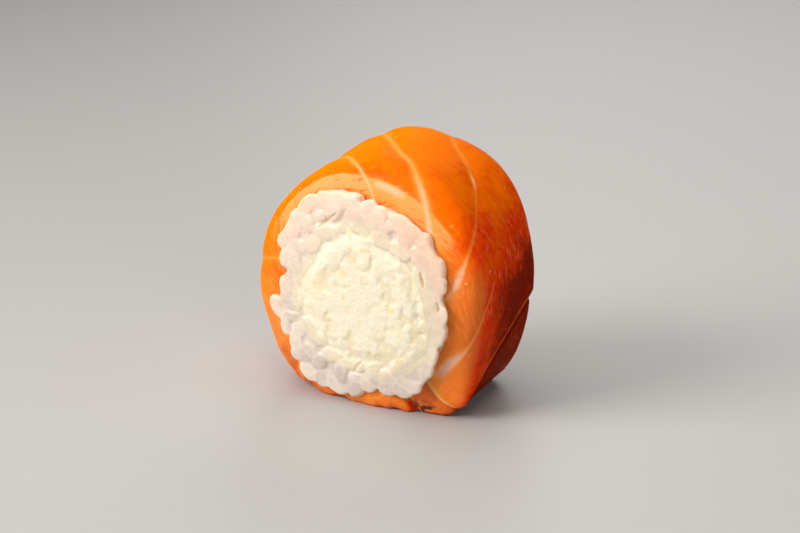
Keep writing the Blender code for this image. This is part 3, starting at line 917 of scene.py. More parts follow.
def deep_red_and_shade_at(angle, walked):
    """1 where the flesh is deepest red, partly its own colour and partly painted shade: round the right
    side and towards the back.
    """
    turned, from_rim = angle % 360, behind_front(walked)
    deepest = smooth_step(turned, *DEEPEST_ROUND) * smooth_step(from_rim, *DEEPEST_BACK)
    return hill(turned, *DEEP_ROUND) * (smooth_step(from_rim, *DEEP_BACK) + deepest) / 2


def near_front_rim(walked):
    return 1 - smooth_step(behind_front(walked), *WET_BACK)


def wet_at(angle, walked):
    """How much of a film of water and oil lies on the flesh: most beside the rim low on both sides."""
    return WET_LEAST + WET_LOW * hill(angle % 360, *WET_ROUND) * near_front_rim(walked)


def painted_end_glow(along, y):
    """A painted glow along the slice's cut right end, brightest at its front corner."""
    above = smooth_step(y, *END_LINE_CHANGES)
    middle, width, strength = [corner + (side - corner) * above for corner, side in END_LINE]
    return strength * bell(way_to_end(along) - middle, width)


print("the pale cut ends at", round(100 * CUT_EDGE), "percent of the thickness")

# %% [markdown]
# Every point now has a place and its marks. A point's depth is its share of the way from the inside
# to the outside. Under each end of the slice it starts from what the short slice takes away there,
# and the right end is lifted off the roll.

# %% Shape the main slice


def main_slice():
    bm, column, row = slice_tube(MAIN_COLUMNS, MAIN_ROWS)
    along = SLICE_START + (SLICE_END - SLICE_START) * denser_at_ends(column / MAIN_COLUMNS)
    y, share, walked, outside = rows_to_paths(row, MAIN_ROWS, along, recess=0.0)
    angle = slanted(along, y)
    smooth_places = wrap_outside(angle, y)
    relief, fat = surface_relief(smooth_places, angle, walked)
    local = 0.5 + (share * outside - 0.5) * end_swell(along)
    low = lap_share(along) * behind_rims(along, y)
    depth = ((low + (1 - low) * local) * (1 - front_trim(angle, y)))[:, None]
    steep = np.sqrt(1 - share**2) * outside
    y_out = y + np.sign(walked) * relief * steep
    places = wrap_inside(angle, y) * (1 - depth) + wrap_outside(angle, y_out, relief) * depth
    lift = flap_lift(along, y)
    places[:, 0] += lift * np.sin(np.radians(angle))
    places[:, 2] += lift * np.cos(np.radians(angle))
    places[:, 2] = np.maximum(places[:, 2], SALMON_UNDER_RICE * (1 - depth[:, 0]))
    # the fat mark holds the fat lines, and also the painted highlight of the crescent and the painted glow
    # along the end
    fields = {
        "fibre": fibre_coordinates(smooth_places, angle, walked, along),
        "fat": np.maximum(np.maximum(fat, painted_crescent_highlight(angle, share)), painted_end_glow(along, y)) * outside,
        "cut": cut_face_at(angle, share),
        "depth": deep_red_and_shade_at(angle, walked),
        "wet": wet_at(angle, walked),
        "skin": TRIM_SKIN * front_trim(angle, y) * smooth_step(share, *TRIM_SKIN_FROM),
    }
    return finished("salmon_wrap", bm, places, fields, SALMON)


salmon_wrap = main_slice()
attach(salmon_wrap, "root")
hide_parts("salmon_slice")

# %% [markdown]
# ## The short slice
#
# A second, shorter slice fills the gap between the two ends low on the right and runs a little way
# under both. It lies deeper and in shade, and its colours are darker as painted shade, with a red
# that deepens towards the back. It is made from the same kind of tube.

# %% Shape the short slice
SHORT_RECESS = 0.0011
UNDER_LAP = (0.55, 0.42, 0.28, 0.14, 0.0)
SHORT_IN_GAP = 12
SHORT_COLUMNS, SHORT_ROWS = (190, 120) if FINE else (90, 50)
SHORT_FIBRE_TURN = 60.0  # degrees by which its fibres are shifted against the main slice's
# its red deepens towards the back, as painted shade
SHORT_FAT, SHORT_DEPTH, SHORT_WET = 0.5, (0.4, 1.0), (0.05, 0.35)
BLOTCHES_ROUND = (SLICE_START + 344, SLICE_START + 352)
BLOTCHES_BACK, BLOTCHES_UP = (0.006, 0.010), (0.0012, 0.0030)
BLOTCH_COUNT, BLOTCH_EDGE = 1100.0, (-0.1, 0.1)


def short_slice_columns():
    """Key columns of the short slice: clock angle, share of the thickness, recess of its rims."""
    gap_low, gap_high = SLICE_END, SLICE_START + 360
    step_aside = math.degrees(1.6 * FIT_GAP / WRAP_RADIUS)
    thinner = 1.5 * FIT_GAP / (WRAP_RADIUS - RICE_RADIUS)
    low, high = gap_low + step_aside, gap_high - step_aside
    under_recess = LAP_SETBACK + FIT_GAP
    keys = []
    for share in UNDER_LAP:
        angle = gap_low - LAP * share
        keys.append((angle, float(lap_share(angle)) - thinner, under_recess))
    keys += [(angle, 1.0, SHORT_RECESS) for angle in np.linspace(low, high, SHORT_IN_GAP)]
    for share in reversed(UNDER_LAP):
        angle = gap_high + LAP * share
        keys.append((angle, float(lap_share(angle - 360)) - thinner, under_recess))
    return np.array(keys)


def slanted_in_gap(angle, y):
    to_start = smooth_step(angle, SLICE_END + 1, SLICE_START + 359)
    return angle + (1 - to_start) * end_edge(y) + to_start * start_edge(y)


def underside_blotches(places, along, walked):
    """Dark blotches of the fish's skin side, low at the front left of the short slice."""
    near_front = 1 - smooth_step(behind_front(walked), *BLOTCHES_BACK)
    low = 1 - smooth_step(places[:, 2], *BLOTCHES_UP)
    patches = smooth_step(noise_at(places, BLOTCH_COUNT, seed=4.0), *BLOTCH_EDGE)
    return smooth_step(along, *BLOTCHES_ROUND) * near_front * low * patches


def short_slice():
    keys = short_slice_columns()
    bm, column, row = slice_tube(SHORT_COLUMNS, SHORT_ROWS)
    key = column / SHORT_COLUMNS * (len(keys) - 1)
    along, height, recess = (np.interp(key, np.arange(len(keys)), keys[:, i]) for i in range(3))
    y, share, walked, outside = rows_to_paths(row, SHORT_ROWS, along, recess)
    angle = slanted_in_gap(along, y)
    smooth_places = wrap_outside(angle, y)
    relief, fat = surface_relief(smooth_places, angle, walked)
    depth = (height * share * outside)[:, None]
    near_front = near_front_rim(walked)
    places = wrap_inside(angle, y) * (1 - depth) + wrap_outside(angle, y, relief) * depth
    fields = {
        "fibre": fibre_coordinates(smooth_places, angle, walked, along - SHORT_FIBRE_TURN),
        "fat": SHORT_FAT * fat,
        "cut": cut_face_at(angle, share),
        "depth": np.interp(1 - near_front, (0, 1), SHORT_DEPTH),
        "wet": np.interp(near_front, (0, 1), SHORT_WET),
        "skin": underside_blotches(places, along, walked),
    }
    return finished("salmon_tuck", bm, places, fields, SALMON_SHADED)


salmon_tuck = short_slice()
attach(salmon_tuck, "root")
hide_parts("salmon_short_slice")

# %% [markdown]
# ## The border between cheese and rice
#
# The knife drags soft cheese a little way over the rice, so the border between them is ragged. Rice
# and cheese both need to know where it is: the rice takes a creamy colour there, and the cheese thins
# out. One function gives every point its share of the way to that border, with noise in it.

# %% The smeared border
# How far the cheese is smeared out over the rice: clock angle, millimetres.
SMEARS = ((0, 0.3), (50, 0.4), (75, 1.0), (100, 1.2), (125, 0.8), (160, 0.5), (230, 0.2), (360, 0.3))
RAGGED = ((140.0, 0.04), (330.0, 0.08), (950.0, 0.05))  # lumps to a metre, and how far they reach
MEETS_AT, MEETING_WIDTH = 1.0, 0.07  # where both surfaces meet, as a share of the way out


def metres_at(angle, table):
    """Reads a table of clock angles and millimetres at any angle."""
    return np.interp(angle % 360, *np.array(table).T) / 1000


def smear_at(angle):
    return metres_at(angle, SMEARS)


def share_of_smear(places):
    """How far out each point lies, as a share of the way to the smear's uneven edge."""
    x, z = off_axis(places, CHEESE_SHIFT)
    angle = np.degrees(np.arctan2(x, z))
    edge = CHEESE_RADIUS * wavy(angle, CHEESE_WAVES) + smear_at(angle)
    ragged = sum(reach * noise_at(places, count, seed=count) for count, reach in RAGGED)
    return np.hypot(x, z) / edge + ragged


# along this line rice and cheese are both painted lighter, as painted light against shade there
def meeting_at(share):
    """1 on the line where cheese and rice meet."""
    return bell(share - MEETS_AT, MEETING_WIDTH)


print("smear in mm:", [round(1000 * float(smear_at(angle)), 1) for angle in (0, 90, 180, 270)])

# %% [markdown]
# ## Rice
#
# Sushi rice is sticky: the grains keep their shape, but where they touch they are one mass, and a
# knife has cut the faces level. Each face is built from some eighty grains with few faces each, laid
# in rows round the ring on a packed bed. They lie more or less along the ring, as the rolling mat
# pressed them. A voxel Remesh melts them into one skin with soft creases, which lets light pass from
# grain to grain as it does in the real thing. The plain bed under them fills the ring. It is a
# rectangle, spun once round the axis with bmesh's spin, and then fitted between cheese and salmon.

# %% A packed bed
RICE_PROUD = 0.0022
# How far the outermost grains swell over the salmon's rim: clock angle, millimetres.
SWELLS = (
    (0, 0.3), (12, 0.5), (24, 1.4), (36, 1.4), (48, 1.3), (60, 1.0), (72, 0.4), (84, 0.1),
    (96, 0.4), (108, 0.6), (120, 1.8), (132, 2.0), (144, 1.3), (156, -0.2), (168, 0.4), (180, 1.8),
    (194, 2.3), (212, 1.6), (222, 0.4), (230, -1.0), (240, -0.6), (252, 0.3), (264, -1.2),
    (276, -2.2), (286, -0.8), (300, 1.0), (312, 0.7), (324, 0.0), (348, 0.4), (360, 0.3),
)
BED_SUNK, BED_INSET, BED_DEPTH = 0.00008, 0.0012, 0.0030
RICE_UNDER_CHEESE = 0.0036
SPIN_STEPS = 72


def face_at(side, proud):
    """A cut face's place along Y. side is -1 at the front and 1 at the back."""
    return side * (SALMON_WIDTH / 2 + proud)


def swell_at(angle):
    return metres_at(angle, SWELLS)


def spin_rectangle(bm, radii, near, far, closed):
    """Spins a rectangle once round the Y axis. An open one lacks its side on the axis."""
    inner, outer = radii
    profile = [(inner, near), (outer, near), (outer, far), (inner, far)]
    verts = [bm.verts.new((0.0, y, radius)) for radius, y in profile]
    ends = verts[1:] + verts[:1] if closed else verts[1:]
    edges = [bm.edges.new(pair) for pair in zip(verts, ends)]
    turn = 2 * math.pi
    bmesh.ops.spin(
        bm, geom=verts + edges, cent=(0, 0, 0), axis=(0, 1, 0), angle=turn, steps=SPIN_STEPS, use_merge=True
    )


def clock_angle(place):
    return math.degrees(math.atan2(place.x, place.z))


def add_ring(bm, near, far, inset, follows_swell=1.0):
    """A closed ring of rice between cheese and salmon, from one place along Y to another."""
    spin_rectangle(bm, (1.0, 2.0), near, far, closed=True)
    for vert in bm.verts:
        angle, y = clock_angle(vert.co), vert.co.y
        share = math.hypot(vert.co.x, vert.co.z) - 1
        inner = cheese_outside(angle, y, outset=-RICE_UNDER_CHEESE)
        outer = rice_outside(angle, y, inset=inset - follows_swell * swell_at(angle))
        vert.co = Vector(inner * (1 - share) + outer * share)


print("grains swell over the rim by, in mm:",
      [round(1000 * float(swell_at(angle)), 1) for angle in (0, 90, 180, 270)])

# %% [markdown]
# A grain is an icosphere with few faces, stretched and turned. Its length, width, turn and place are
# drawn at random around those of its row, always in the same order, so that every run gives the same
# grains. What stands above the knife's cut is then pressed nearly flat.

# %% Grains on the bed
GRAIN_LENGTH, GRAIN_WIDTH = 0.0054, 0.0031
# way from the cheese's edge (0) to the salmon (1), number of grains, largest turn in degrees
GRAIN_ROWS = ((0.0, 19, 30), (0.5, 26, 90), (1.0, 34, 55))
ROW_WANDER = 0.00050
GRAIN_CROWDING = 0.42  # share of the room for one grain by which it may lie off its place
GRAIN_LENGTHS, GRAIN_WIDTHS = (0.72, 1.25), (0.9, 1.12)  # shares of the usual size
GRAIN_LIFTS, GRAIN_TILT = (-0.0005, 0.0006), 18.0  # metres, and degrees up or down
GRAIN_INSET, GRAIN_UNDER_CHEESE = 0.0002, 0.0006
CUT_BELOW = 0.0007  # the knife's cut lies this far under the highest points
CUT_KEEPS = 0.08  # share of a grain's height that is left above the cut
FACE_FALLS = 0.0006  # the cut face is this much lower beside the salmon
FALL_FROM, FALL_TO = 0.0135, 0.0178  # metres from the axis
SEED = 11


def grain_place(draw, share, angle, lean, length, width, y):
    """The middle of a grain whose far side just reaches the swell, or the cheese."""
    sideways = math.hypot(length / 2 * math.sin(lean), width / 2 * math.cos(lean))
    wander = draw.uniform(-ROW_WANDER, ROW_WANDER)
    inner = cheese_outside(angle, y, outset=sideways - GRAIN_UNDER_CHEESE + wander)
    outer = rice_outside(angle, y, inset=GRAIN_INSET + sideways + wander - swell_at(angle))
    return Vector(inner * (1 - share) + outer * share)


def add_blob(bm, place, turn, size):
    """An icosphere with few faces, stretched to a size, turned, and put in its place."""
    matrix = Matrix.Translation(place) @ turn @ Matrix.Diagonal((*size, 1.0))
    bmesh.ops.create_icosphere(bm, subdivisions=2, radius=0.5, matrix=matrix)


def cut_level(bm, side):
    """Flattens what stands above the knife's cut."""
    for vert in bm.verts:
        from_axis = math.hypot(vert.co.x - AXIS_X, vert.co.z - AXIS_HEIGHT)
        falls = FACE_FALLS * float(smooth_step(from_axis, FALL_FROM, FALL_TO))
        cut = face_at(side, RICE_PROUD - CUT_BELOW - falls)
        above = side * (vert.co.y - cut)
        if above > 0:
            vert.co.y = cut + side * above * CUT_KEEPS


def laid_grains(side):
    """Loose grains on their bed, and for each its middle, the way it lies, its two sizes and its tone."""
    draw = random.Random(SEED + side)
    bm = bmesh.new()
    near = face_at(side, RICE_PROUD - CUT_BELOW - BED_SUNK)
    add_ring(bm, near, near - side * BED_DEPTH, BED_INSET)
    grains = []
    for share, count, most_lean in GRAIN_ROWS:
        for step in range(count):
            angle = 360 * (step + draw.uniform(-GRAIN_CROWDING, GRAIN_CROWDING)) / count
            lean = math.radians(draw.uniform(-most_lean, most_lean))
            length = GRAIN_LENGTH * draw.uniform(*GRAIN_LENGTHS)
            width = GRAIN_WIDTH * draw.uniform(*GRAIN_WIDTHS)
            y = face_at(side, RICE_PROUD - width / 2 + draw.uniform(*GRAIN_LIFTS))
            place = grain_place(draw, share, angle, lean, length, width, y)
            tilt = math.radians(draw.uniform(-GRAIN_TILT, GRAIN_TILT))
            turn = Matrix.Rotation(math.radians(angle) + lean, 4, "Y") @ Matrix.Rotation(tilt, 4, "Z")
            add_blob(bm, place, turn, (length, width, width))
            lies = turn @ Vector((1, 0, 0))
            grains.append((place.x, place.z, lies.x, lies.z, length, width, draw.random()))
    cut_level(bm, side)
    bmesh.ops.recalc_face_normals(bm, faces=bm.faces)
    return bm, np.array(grains)


print("each face of rice has", sum(count for share, count, lean in GRAIN_ROWS), "grains")

# %% [markdown]
# The Remesh modifier works on an object, so the loose grains become one for a moment. Its voxels must
# be small against a grain, or the creases between grains fill up. A few rounds of smoothing take the
# steps of the voxels away.

# %% Melt them into one skin
MELT_VOXEL, MELT_SMOOTHINGS = 0.00019 if FINE else 0.00035, 3


def melted(name, bm):
    """Joins all closed shapes of a bmesh into one skin, and gives it back as a bmesh."""
    mesh = bpy.data.meshes.new(name)
    bm.to_mesh(mesh)
    bm.free()
    thing = link(bpy.data.objects.new(name, mesh))
    remesh = thing.modifiers.new("melt", "REMESH")
    remesh.mode = "VOXEL"
    remesh.voxel_size = MELT_VOXEL
    graph = bpy.context.evaluated_depsgraph_get()
    skin = bmesh.new()
    skin.from_mesh(thing.evaluated_get(graph).to_mesh())
    bpy.data.objects.remove(thing)
    for _ in range(MELT_SMOOTHINGS):
        bmesh.ops.smooth_vert(
            skin, verts=skin.verts, factor=0.5, use_axis_x=True, use_axis_y=True, use_axis_z=True
        )
    return skin


print("a grain is", round(GRAIN_WIDTH / MELT_VOXEL), "voxels wide")

# %% [markdown]
# Melted grains still show, because each lets a little more or less light through than its neighbour.
# So each point of the skin looks up the grain that it belongs to. It takes that grain's tone, and a
# second number says how near it is to the next grain. A few gaps that the knife tore are pressed in
# afterwards.

# %% Tones and gaps
# Each gap: clock angle and millimetres from the axis at both ends, half its width and its depth.
RICE_GAPS = (
    (326, 14.0, 343, 15.0, 0.38, 0.24),
    (60, 13.9, 70, 13.5, 0.20, 0.45),
    (82, 15.3, 87, 15.5, 0.24, 0.26),
    (0, 18.3, 1, 16.6, 0.14, 0.45),
    (185, 12.2, 177, 10.1, 0.26, 0.20),
)
GAP_ENDS, GAP_TORN = 0.35, (0.6, 900.0)  # width left at a gap's ends, and how torn its edges are
GRAIN_BORDER = 0.16


def grain_fields(places, grains):
    """The tone of the nearest grain at each point, and 1 on the border between two grains."""
    x, z, along_x, along_z, length, width, tone = grains.T
    away_x, away_z = places[:, 0, None] - x, places[:, 2, None] - z
    along = (away_x * along_x + away_z * along_z) / length
    across = (away_x * along_z - away_z * along_x) / width
    away = np.hypot(along, across)
    two_nearest = np.sort(away, axis=1)[:, :2]
    border = 1 - smooth_step(two_nearest[:, 1] - two_nearest[:, 0], 0.0, GRAIN_BORDER)
    return tone[np.argmin(away, axis=1)], border


def across_face(angle, millimetres):
    """A place on the face, in metres to the right of the axis and above it."""
    turn = math.radians(angle)
    return millimetres / 1000 * np.array([math.sin(turn), math.cos(turn)])


def gap_depths(places):
    """How deep each point lies in a torn gap, in metres."""
    spots = np.stack(off_axis(places), axis=-1)
    torn = 1 + unevenness(places, GAP_TORN, seed=11.0)
    depth = np.zeros(len(places))
    for start, start_radius, end, end_radius, half_width, deep in RICE_GAPS:
        first = across_face(start, start_radius)
        run = across_face(end, end_radius) - first
        t = np.clip((spots - first) @ run / (run @ run), 0, 1)
        away = np.linalg.norm(spots - first - t[:, None] * run, axis=1)
        wide = half_width / 1000 * (GAP_ENDS + (1 - GAP_ENDS) * np.sin(np.pi * t)) * torn
        depth = np.maximum(depth, deep / 1000 * bell(away, wide))
    return depth


print(len(RICE_GAPS), "torn gaps")

# %% [markdown]
# Rice is white, but here it takes colour from its neighbours: a peach glow near the salmon at the
# top, which is painted light bled from the salmon, and cream beside the cheese. The torn gaps get an
# orange painted shade, and the grains are painted paler where they turn away from the face near the
# rim and along the line where they meet the cheese, as painted light against shade there. The
# material reads each of these as a number at each point. A faint mottle and a soft, moist gloss do the
# rest.

# %% The rice material
RICE_GREY, RICE_WHITE = (0.545, 0.455, 0.405), (0.66, 0.575, 0.495)
RICE_TINTS = {
    "painted_salmon_glow": (0.77, 0.53, 0.385),
    "cream": (0.70, 0.61, 0.44),
    "border": (0.78, 0.68, 0.58),
    "painted_gap_shade": (0.72, 0.40, 0.14),
    "rim": (0.92, 0.74, 0.56),
}
FINE_MOTTLE = 420.0
RICE_BUMP = 0.00008


def rice_material():
    material = new_material("cooked_rice")
    tree = material.node_tree
    shader = shader_of(material)
    patches, specks = use_group(tree, MOTTLE, Scale=FINE_MOTTLE)
    tone = total(tree, attribute(tree, "tone"), between(tree, patches, 0.3, 0.7, -0.25, 0.25))
    tints = [(attribute(tree, mark), colour) for mark, colour in RICE_TINTS.items()]
    grains = [(between(tree, tone, 0.0, 1.0), RICE_WHITE)]
    feed(tree, shader.inputs["Base Color"], layered(tree, RICE_GREY, grains + tints))
    feed(tree, shader.inputs["Roughness"], between(tree, patches, 0.3, 0.7, 0.24, 0.40))
    feed(tree, shader.inputs["Normal"], bump(tree, specks, RICE_BUMP))
    set_shader(material, Subsurface_Weight=0.8, Subsurface_Scale=0.0011,
               Subsurface_Radius=(1.0, 0.78, 0.60), Specular_IOR_Level=0.35)
    return material


RICE = rice_material()
print("material:", RICE.name)

# %% [markdown]
# The same function makes the front and the back. It melts the grains, dents the skin a little, and
# works out the number for each tint from where a point lies.

# %% The two faces of rice
RICE_UNEVEN, FACE_UNEVEN = (0.00004, 700.0), (0.00008, 230.0)
NEAR_SALMON, AT_RIM, HIGH_UP = (0.010, 0.018), (0.012, 0.015), (0.004, 0.034)  # metres
# how strong each tint gets, and between which shares of the way out or depths in metres it changes
# painted light on grains turned away near the rim, and along the line where rice meets cheese, against
# shade there
RIM_PAINTED_LIGHT, MEETING_PAINTED_LIGHT = 0.6, 0.15
# a painted peach glow of the light that the salmon passes on, strongest near it at the top
SALMON_GLOW_LEAST, SALMON_GLOW_MOST = 0.15, 0.85
CREAM_MOST, CREAM_FADES = 0.85, (0.98, 1.30)
# painted shade in the torn gaps, tinted orange, stronger where a gap is deeper
GAP_SHADE_MOST, GAP_SHADE_DEPTHS = 0.75, (0.00005, 0.0004)
BORDER_LOW_DOWN, BORDER_HIGH_UP = 0.35, 0.14


def finish_rice_face(side, name):
    loose, grains = laid_grains(side)
    skin = melted("rice", loose)
    places = np.array([vert.co for vert in skin.verts])
    tone, border = grain_fields(places, grains)
    gaps = gap_depths(places)
    dents = unevenness(places, RICE_UNEVEN, seed=2.0) + unevenness(places, FACE_UNEVEN, seed=3.0)
    normals = np.array([vert.normal for vert in skin.verts])
    places = places + dents[:, None] * normals
    outward = side * normals[:, 1]
    places[:, 1] -= side * gaps * smooth_step(outward, 0.0, 0.5)
    from_axis = np.hypot(places[:, 0] - AXIS_X, places[:, 2] - AXIS_HEIGHT)
    painted_salmon_glow = SALMON_GLOW_LEAST + (SALMON_GLOW_MOST - SALMON_GLOW_LEAST) * smooth_step(from_axis, *NEAR_SALMON)
    high = smooth_step(places[:, 2], *HIGH_UP)
    share = share_of_smear(places)
    turned_away = smooth_step(from_axis, *AT_RIM) * (1 - smooth_step(outward, 0.3, 0.95))
    # the rim mark is painted light against shade
    return finished(name, skin, places, {
        "rim": np.maximum(MEETING_PAINTED_LIGHT * meeting_at(share), RIM_PAINTED_LIGHT * turned_away),
        "painted_salmon_glow": painted_salmon_glow * high,
        "cream": CREAM_MOST * (1 - smooth_step(share, *CREAM_FADES)),
        "painted_gap_shade": GAP_SHADE_MOST * smooth_step(gaps, *GAP_SHADE_DEPTHS),
        "tone": tone,
        "border": border * (BORDER_LOW_DOWN + (BORDER_HIGH_UP - BORDER_LOW_DOWN) * high),
    }, RICE)


rice_front = finish_rice_face(-1, "rice_front")
rice_back = finish_rice_face(1, "rice_back")

# %% [markdown]
# Between the two faces the ring needs no grains, because nobody sees it. A plain closed ring of rice
# keeps the piece whole inside, so that its mesh isn't an empty shell.

# %% The hidden middle of the rice
HIDDEN_HALF = SALMON_WIDTH / 2 + RICE_PROUD - CUT_BELOW - BED_SUNK - BED_DEPTH


def hidden(name, bm, marks, material):
    """Finishes a plain hidden piece as it is, with all of its material's marks at 0."""
    places = [vert.co.copy() for vert in bm.verts]
    return finished(name, bm, places, {mark: [0.0] * len(places) for mark in marks}, material)


def hidden_ring():
    bm = bmesh.new()
    add_ring(bm, -HIDDEN_HALF, HIDDEN_HALF, 0.0, follows_swell=0.0)
    return hidden("rice_middle", bm, ("tone", *RICE_TINTS), RICE)


rice_middle = hidden_ring()
for piece in (rice_front, rice_back, rice_middle):
    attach(piece, "root")
    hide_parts("rice")

# %% [markdown]
# ## Cream cheese
#
# The knife smears soft cheese, so its face is a landscape of flat lumps with shallow tears between
# them. Noise alone looks too even for that. Lumps of many sizes are laid on a plain bed and melted
# together, as the grains were, and only the finest unevenness is noise.

# %% Lumps on a bed
CHEESE_PROUD = 0.0018
LUMP_COUNT, CRUMB_COUNT = 220, 12
LUMP_SIZE, CRUMB_SIZE = (0.0014, 0.0052), (0.0008, 0.0015)
LUMP_HEIGHT, CRUMB_HEIGHT = 0.24, 0.6  # shares of the width
LUMP_STRETCH, LUMP_TURNS = (0.75, 1.25), (9, 180, 9)
LUMP_LIFTS, LUMP_REACH = (-0.00005, 0.00020), 1.02
CRUMB_SPREAD = 0.0006
CHEESE_BED_SUNK, CHEESE_BED_OUTSET = 0.00018, 0.0022
CHEESE_CUT_KEEPS = 0.35
DOUBLES = 0.000001


def add_disc(bm, near, far, outset, follows_smear=1.0):
    """A closed plug of cheese from one place along Y to another."""
    spin_rectangle(bm, (0.0, 1.0), near, far, closed=False)
    bmesh.ops.remove_doubles(bm, verts=bm.verts, dist=DOUBLES)
    for vert in bm.verts:
        angle, y = clock_angle(vert.co), vert.co.y
        share = math.hypot(vert.co.x, vert.co.z)
        out = (follows_smear * smear_at(angle) + outset) * share
        vert.co = Vector(cheese_outside(angle, y, share, outset=out))


def add_lump(bm, draw, place, width, height):
    across, along = [width * draw.uniform(*LUMP_STRETCH) for _ in range(2)]
    turn = Euler([math.radians(draw.uniform(-limit, limit)) for limit in LUMP_TURNS])
    add_blob(bm, place, turn.to_matrix().to_4x4(), (across, height, along))


def cheese_face(side):
    draw = random.Random(SEED + 5 * side)
    bm = bmesh.new()
    near = face_at(side, CHEESE_PROUD - CHEESE_BED_SUNK)
    add_disc(bm, near, near - side * BED_DEPTH, CHEESE_BED_OUTSET)
    for _ in range(LUMP_COUNT):
        width = LUMP_SIZE[0] + (LUMP_SIZE[1] - LUMP_SIZE[0]) * draw.random() ** 2
        height = width * LUMP_HEIGHT
        y = face_at(side, CHEESE_PROUD - height / 2 + draw.uniform(*LUMP_LIFTS))
        place = Vector(cheese_outside(draw.uniform(0, 360), y, math.sqrt(draw.random()) * LUMP_REACH))
        add_lump(bm, draw, place, width, height)
    for _ in range(CRUMB_COUNT):
        angle = draw.uniform(0, 360)
        width = draw.uniform(*CRUMB_SIZE)
        outset = smear_at(angle) + draw.gauss(0.0, CRUMB_SPREAD)
        place = Vector(cheese_outside(angle, face_at(side, CHEESE_PROUD), outset=outset))
        add_lump(bm, draw, place, width, width * CRUMB_HEIGHT)
    for vert in bm.verts:
        above = side * (vert.co.y - face_at(side, CHEESE_PROUD))
        if above > 0:
            vert.co.y -= side * above * (1 - CHEESE_CUT_KEEPS)
    bmesh.ops.recalc_face_normals(bm, faces=bm.faces)
    return melted("cheese", bm)


print("each face of cheese has", LUMP_COUNT, "lumps and", CRUMB_COUNT, "crumbs")

# %% [markdown]
# The colour follows the relief: the high places are whiter, and the tears between them a little more
# yellow. Small yellow smears are spread over it, and white flecks that are partly painted highlights.

# %% The cheese material
CHEESE_LOW, CHEESE_HIGH = (0.68, 0.585, 0.395), (0.72, 0.655, 0.51)
SMEAR_YELLOW, SPECK_YELLOW = (0.72, 0.56, 0.24), (0.74, 0.56, 0.20)
# the second colour here is painted light along the line where cheese meets rice, against shade there
FLECK_AND_HIGHLIGHT_WHITE, MEETING_LIGHT_COLOUR = (0.78, 0.74, 0.64), (0.80, 0.71, 0.52)
CHEESE_BUMP = 0.00010


def cheese_material():
    material = new_material("soft_cheese")
    tree = material.node_tree
    shader = shader_of(material)
    patches, specks = use_group(tree, MOTTLE, Scale=FINE_MOTTLE)
    crest = total(tree, attribute(tree, "crest"), between(tree, patches, 0.3, 0.7, -0.3, 0.3))
    feed(tree, shader.inputs["Base Color"], layered(tree, CHEESE_LOW, [
        (between(tree, crest, 0.0, 1.0), CHEESE_HIGH),
        (between(tree, patches, 0.60, 0.70, 0.0, 0.6), SMEAR_YELLOW),
        (between(tree, specks, 0.32, 0.24, 0.0, 0.6), SPECK_YELLOW),
        (between(tree, specks, 0.62, 0.74, 0.0, 0.6), FLECK_AND_HIGHLIGHT_WHITE),
        (attribute(tree, "film"), MEETING_LIGHT_COLOUR),
    ]))
    feed(tree, shader.inputs["Roughness"], between(tree, specks, 0.3, 0.7, 0.42, 0.62))
    feed(tree, shader.inputs["Normal"], bump(tree, specks, CHEESE_BUMP))
    set_shader(material, Subsurface_Weight=0.5, Subsurface_Scale=0.0006,
               Subsurface_Radius=(1.0, 0.85, 0.6), Specular_IOR_Level=0.35)
    return material


CREAM_CHEESE = cheese_material()
print("material:", CREAM_CHEESE.name)

# %% [markdown]
# Towards its edge the smear thins out to a film that follows the grains: each point looks along the
# axis for the rice, and takes its height. So the two faces pass into each other at a very flat angle,
# with no step between them. Between the faces lies a plain hidden plug, as in the rice.

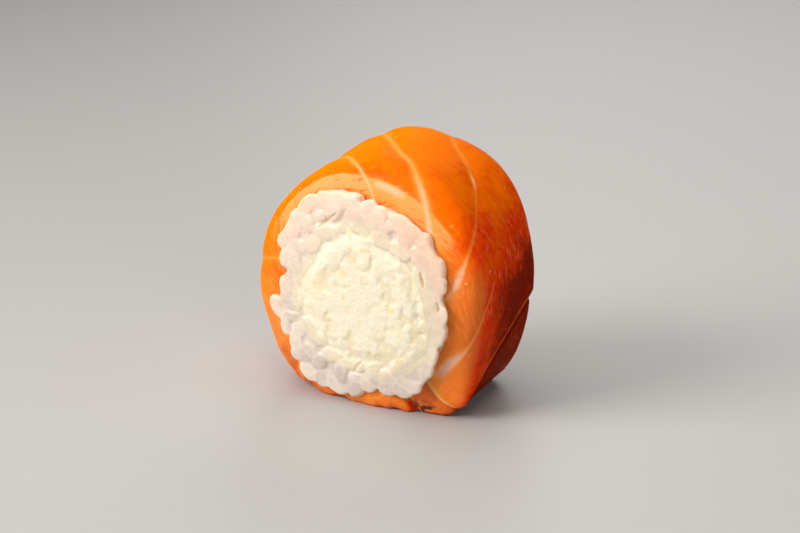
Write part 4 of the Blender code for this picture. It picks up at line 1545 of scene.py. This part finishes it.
# %% The two faces of cheese
CHEESE_FINE, CHEESE_SOFT = (0.00004, 1300.0), (0.00009, 420.0)
CREST_HEIGHTS, MEETING_LIGHT_MOST = (-0.0003, 0.0001), 0.5
THIN_FILM = 0.00016
THINS_FROM, THINS_TO = 0.86, 1.14  # the smear thins out between these shares of the way to its edge
LEVELS_FROM, LEVELS_TO = 0.76, 0.98  # and here it comes level with the rice
SINKS_BY, SINKS_FROM, SINKS_TO = 0.0006, 1.04, 1.20  # past the edge it runs on under the rice
RAY_FROM = 0.03


def height_over(places, side, other):
    """How far each point stands proud of another piece's face, looking along the axis."""
    tree = BVHTree.FromObject(other, bpy.context.evaluated_depsgraph_get())
    heights = np.zeros(len(places))
    for number, (x, y, z) in enumerate(places):
        hit = tree.ray_cast(Vector((x, side * RAY_FROM, z)), Vector((0, -side, 0)))[0]
        heights[number] = side * (y - hit.y) if hit else 0.0
    return heights


def finish_cheese_face(side, name, rice):
    skin = cheese_face(side)
    places = np.array([vert.co for vert in skin.verts])
    normals = np.array([vert.normal for vert in skin.verts])
    relief = unevenness(places, CHEESE_FINE, seed=6.0) + unevenness(places, CHEESE_SOFT, seed=7.0)
    places = places + relief[:, None] * normals
    crest = smooth_step(side * (places[:, 1] - face_at(side, CHEESE_PROUD)), *CREST_HEIGHTS)
    share = share_of_smear(places)
    level = THIN_FILM * (1 - smooth_step(share, THINS_FROM, THINS_TO)) - THIN_FILM / 2
    on_face = smooth_step(side * normals[:, 1], 0.2, 0.7) * smooth_step(share, LEVELS_FROM, LEVELS_TO)
    places[:, 1] += side * on_face * (level - height_over(places, side, rice))
    places[:, 1] -= side * SINKS_BY * smooth_step(share, SINKS_FROM, SINKS_TO)
    # the film mark is painted light along the line where cheese meets rice, against shade there
    fields = {"crest": crest, "film": MEETING_LIGHT_MOST * meeting_at(share)}
    return finished(name, skin, places, fields, CREAM_CHEESE)


def hidden_plug():
    bm = bmesh.new()
    add_disc(bm, -HIDDEN_HALF, HIDDEN_HALF, -2 * FIT_GAP, follows_smear=0.0)
    return hidden("cheese_middle", bm, ("crest", "film"), CREAM_CHEESE)


cheese_front = finish_cheese_face(-1, "cheese_front", rice_front)
cheese_back = finish_cheese_face(1, "cheese_back", rice_back)
cheese_middle = hidden_plug()
for piece in (cheese_front, cheese_back, cheese_middle):
    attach(piece, "root")
    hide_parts("cream_cheese")
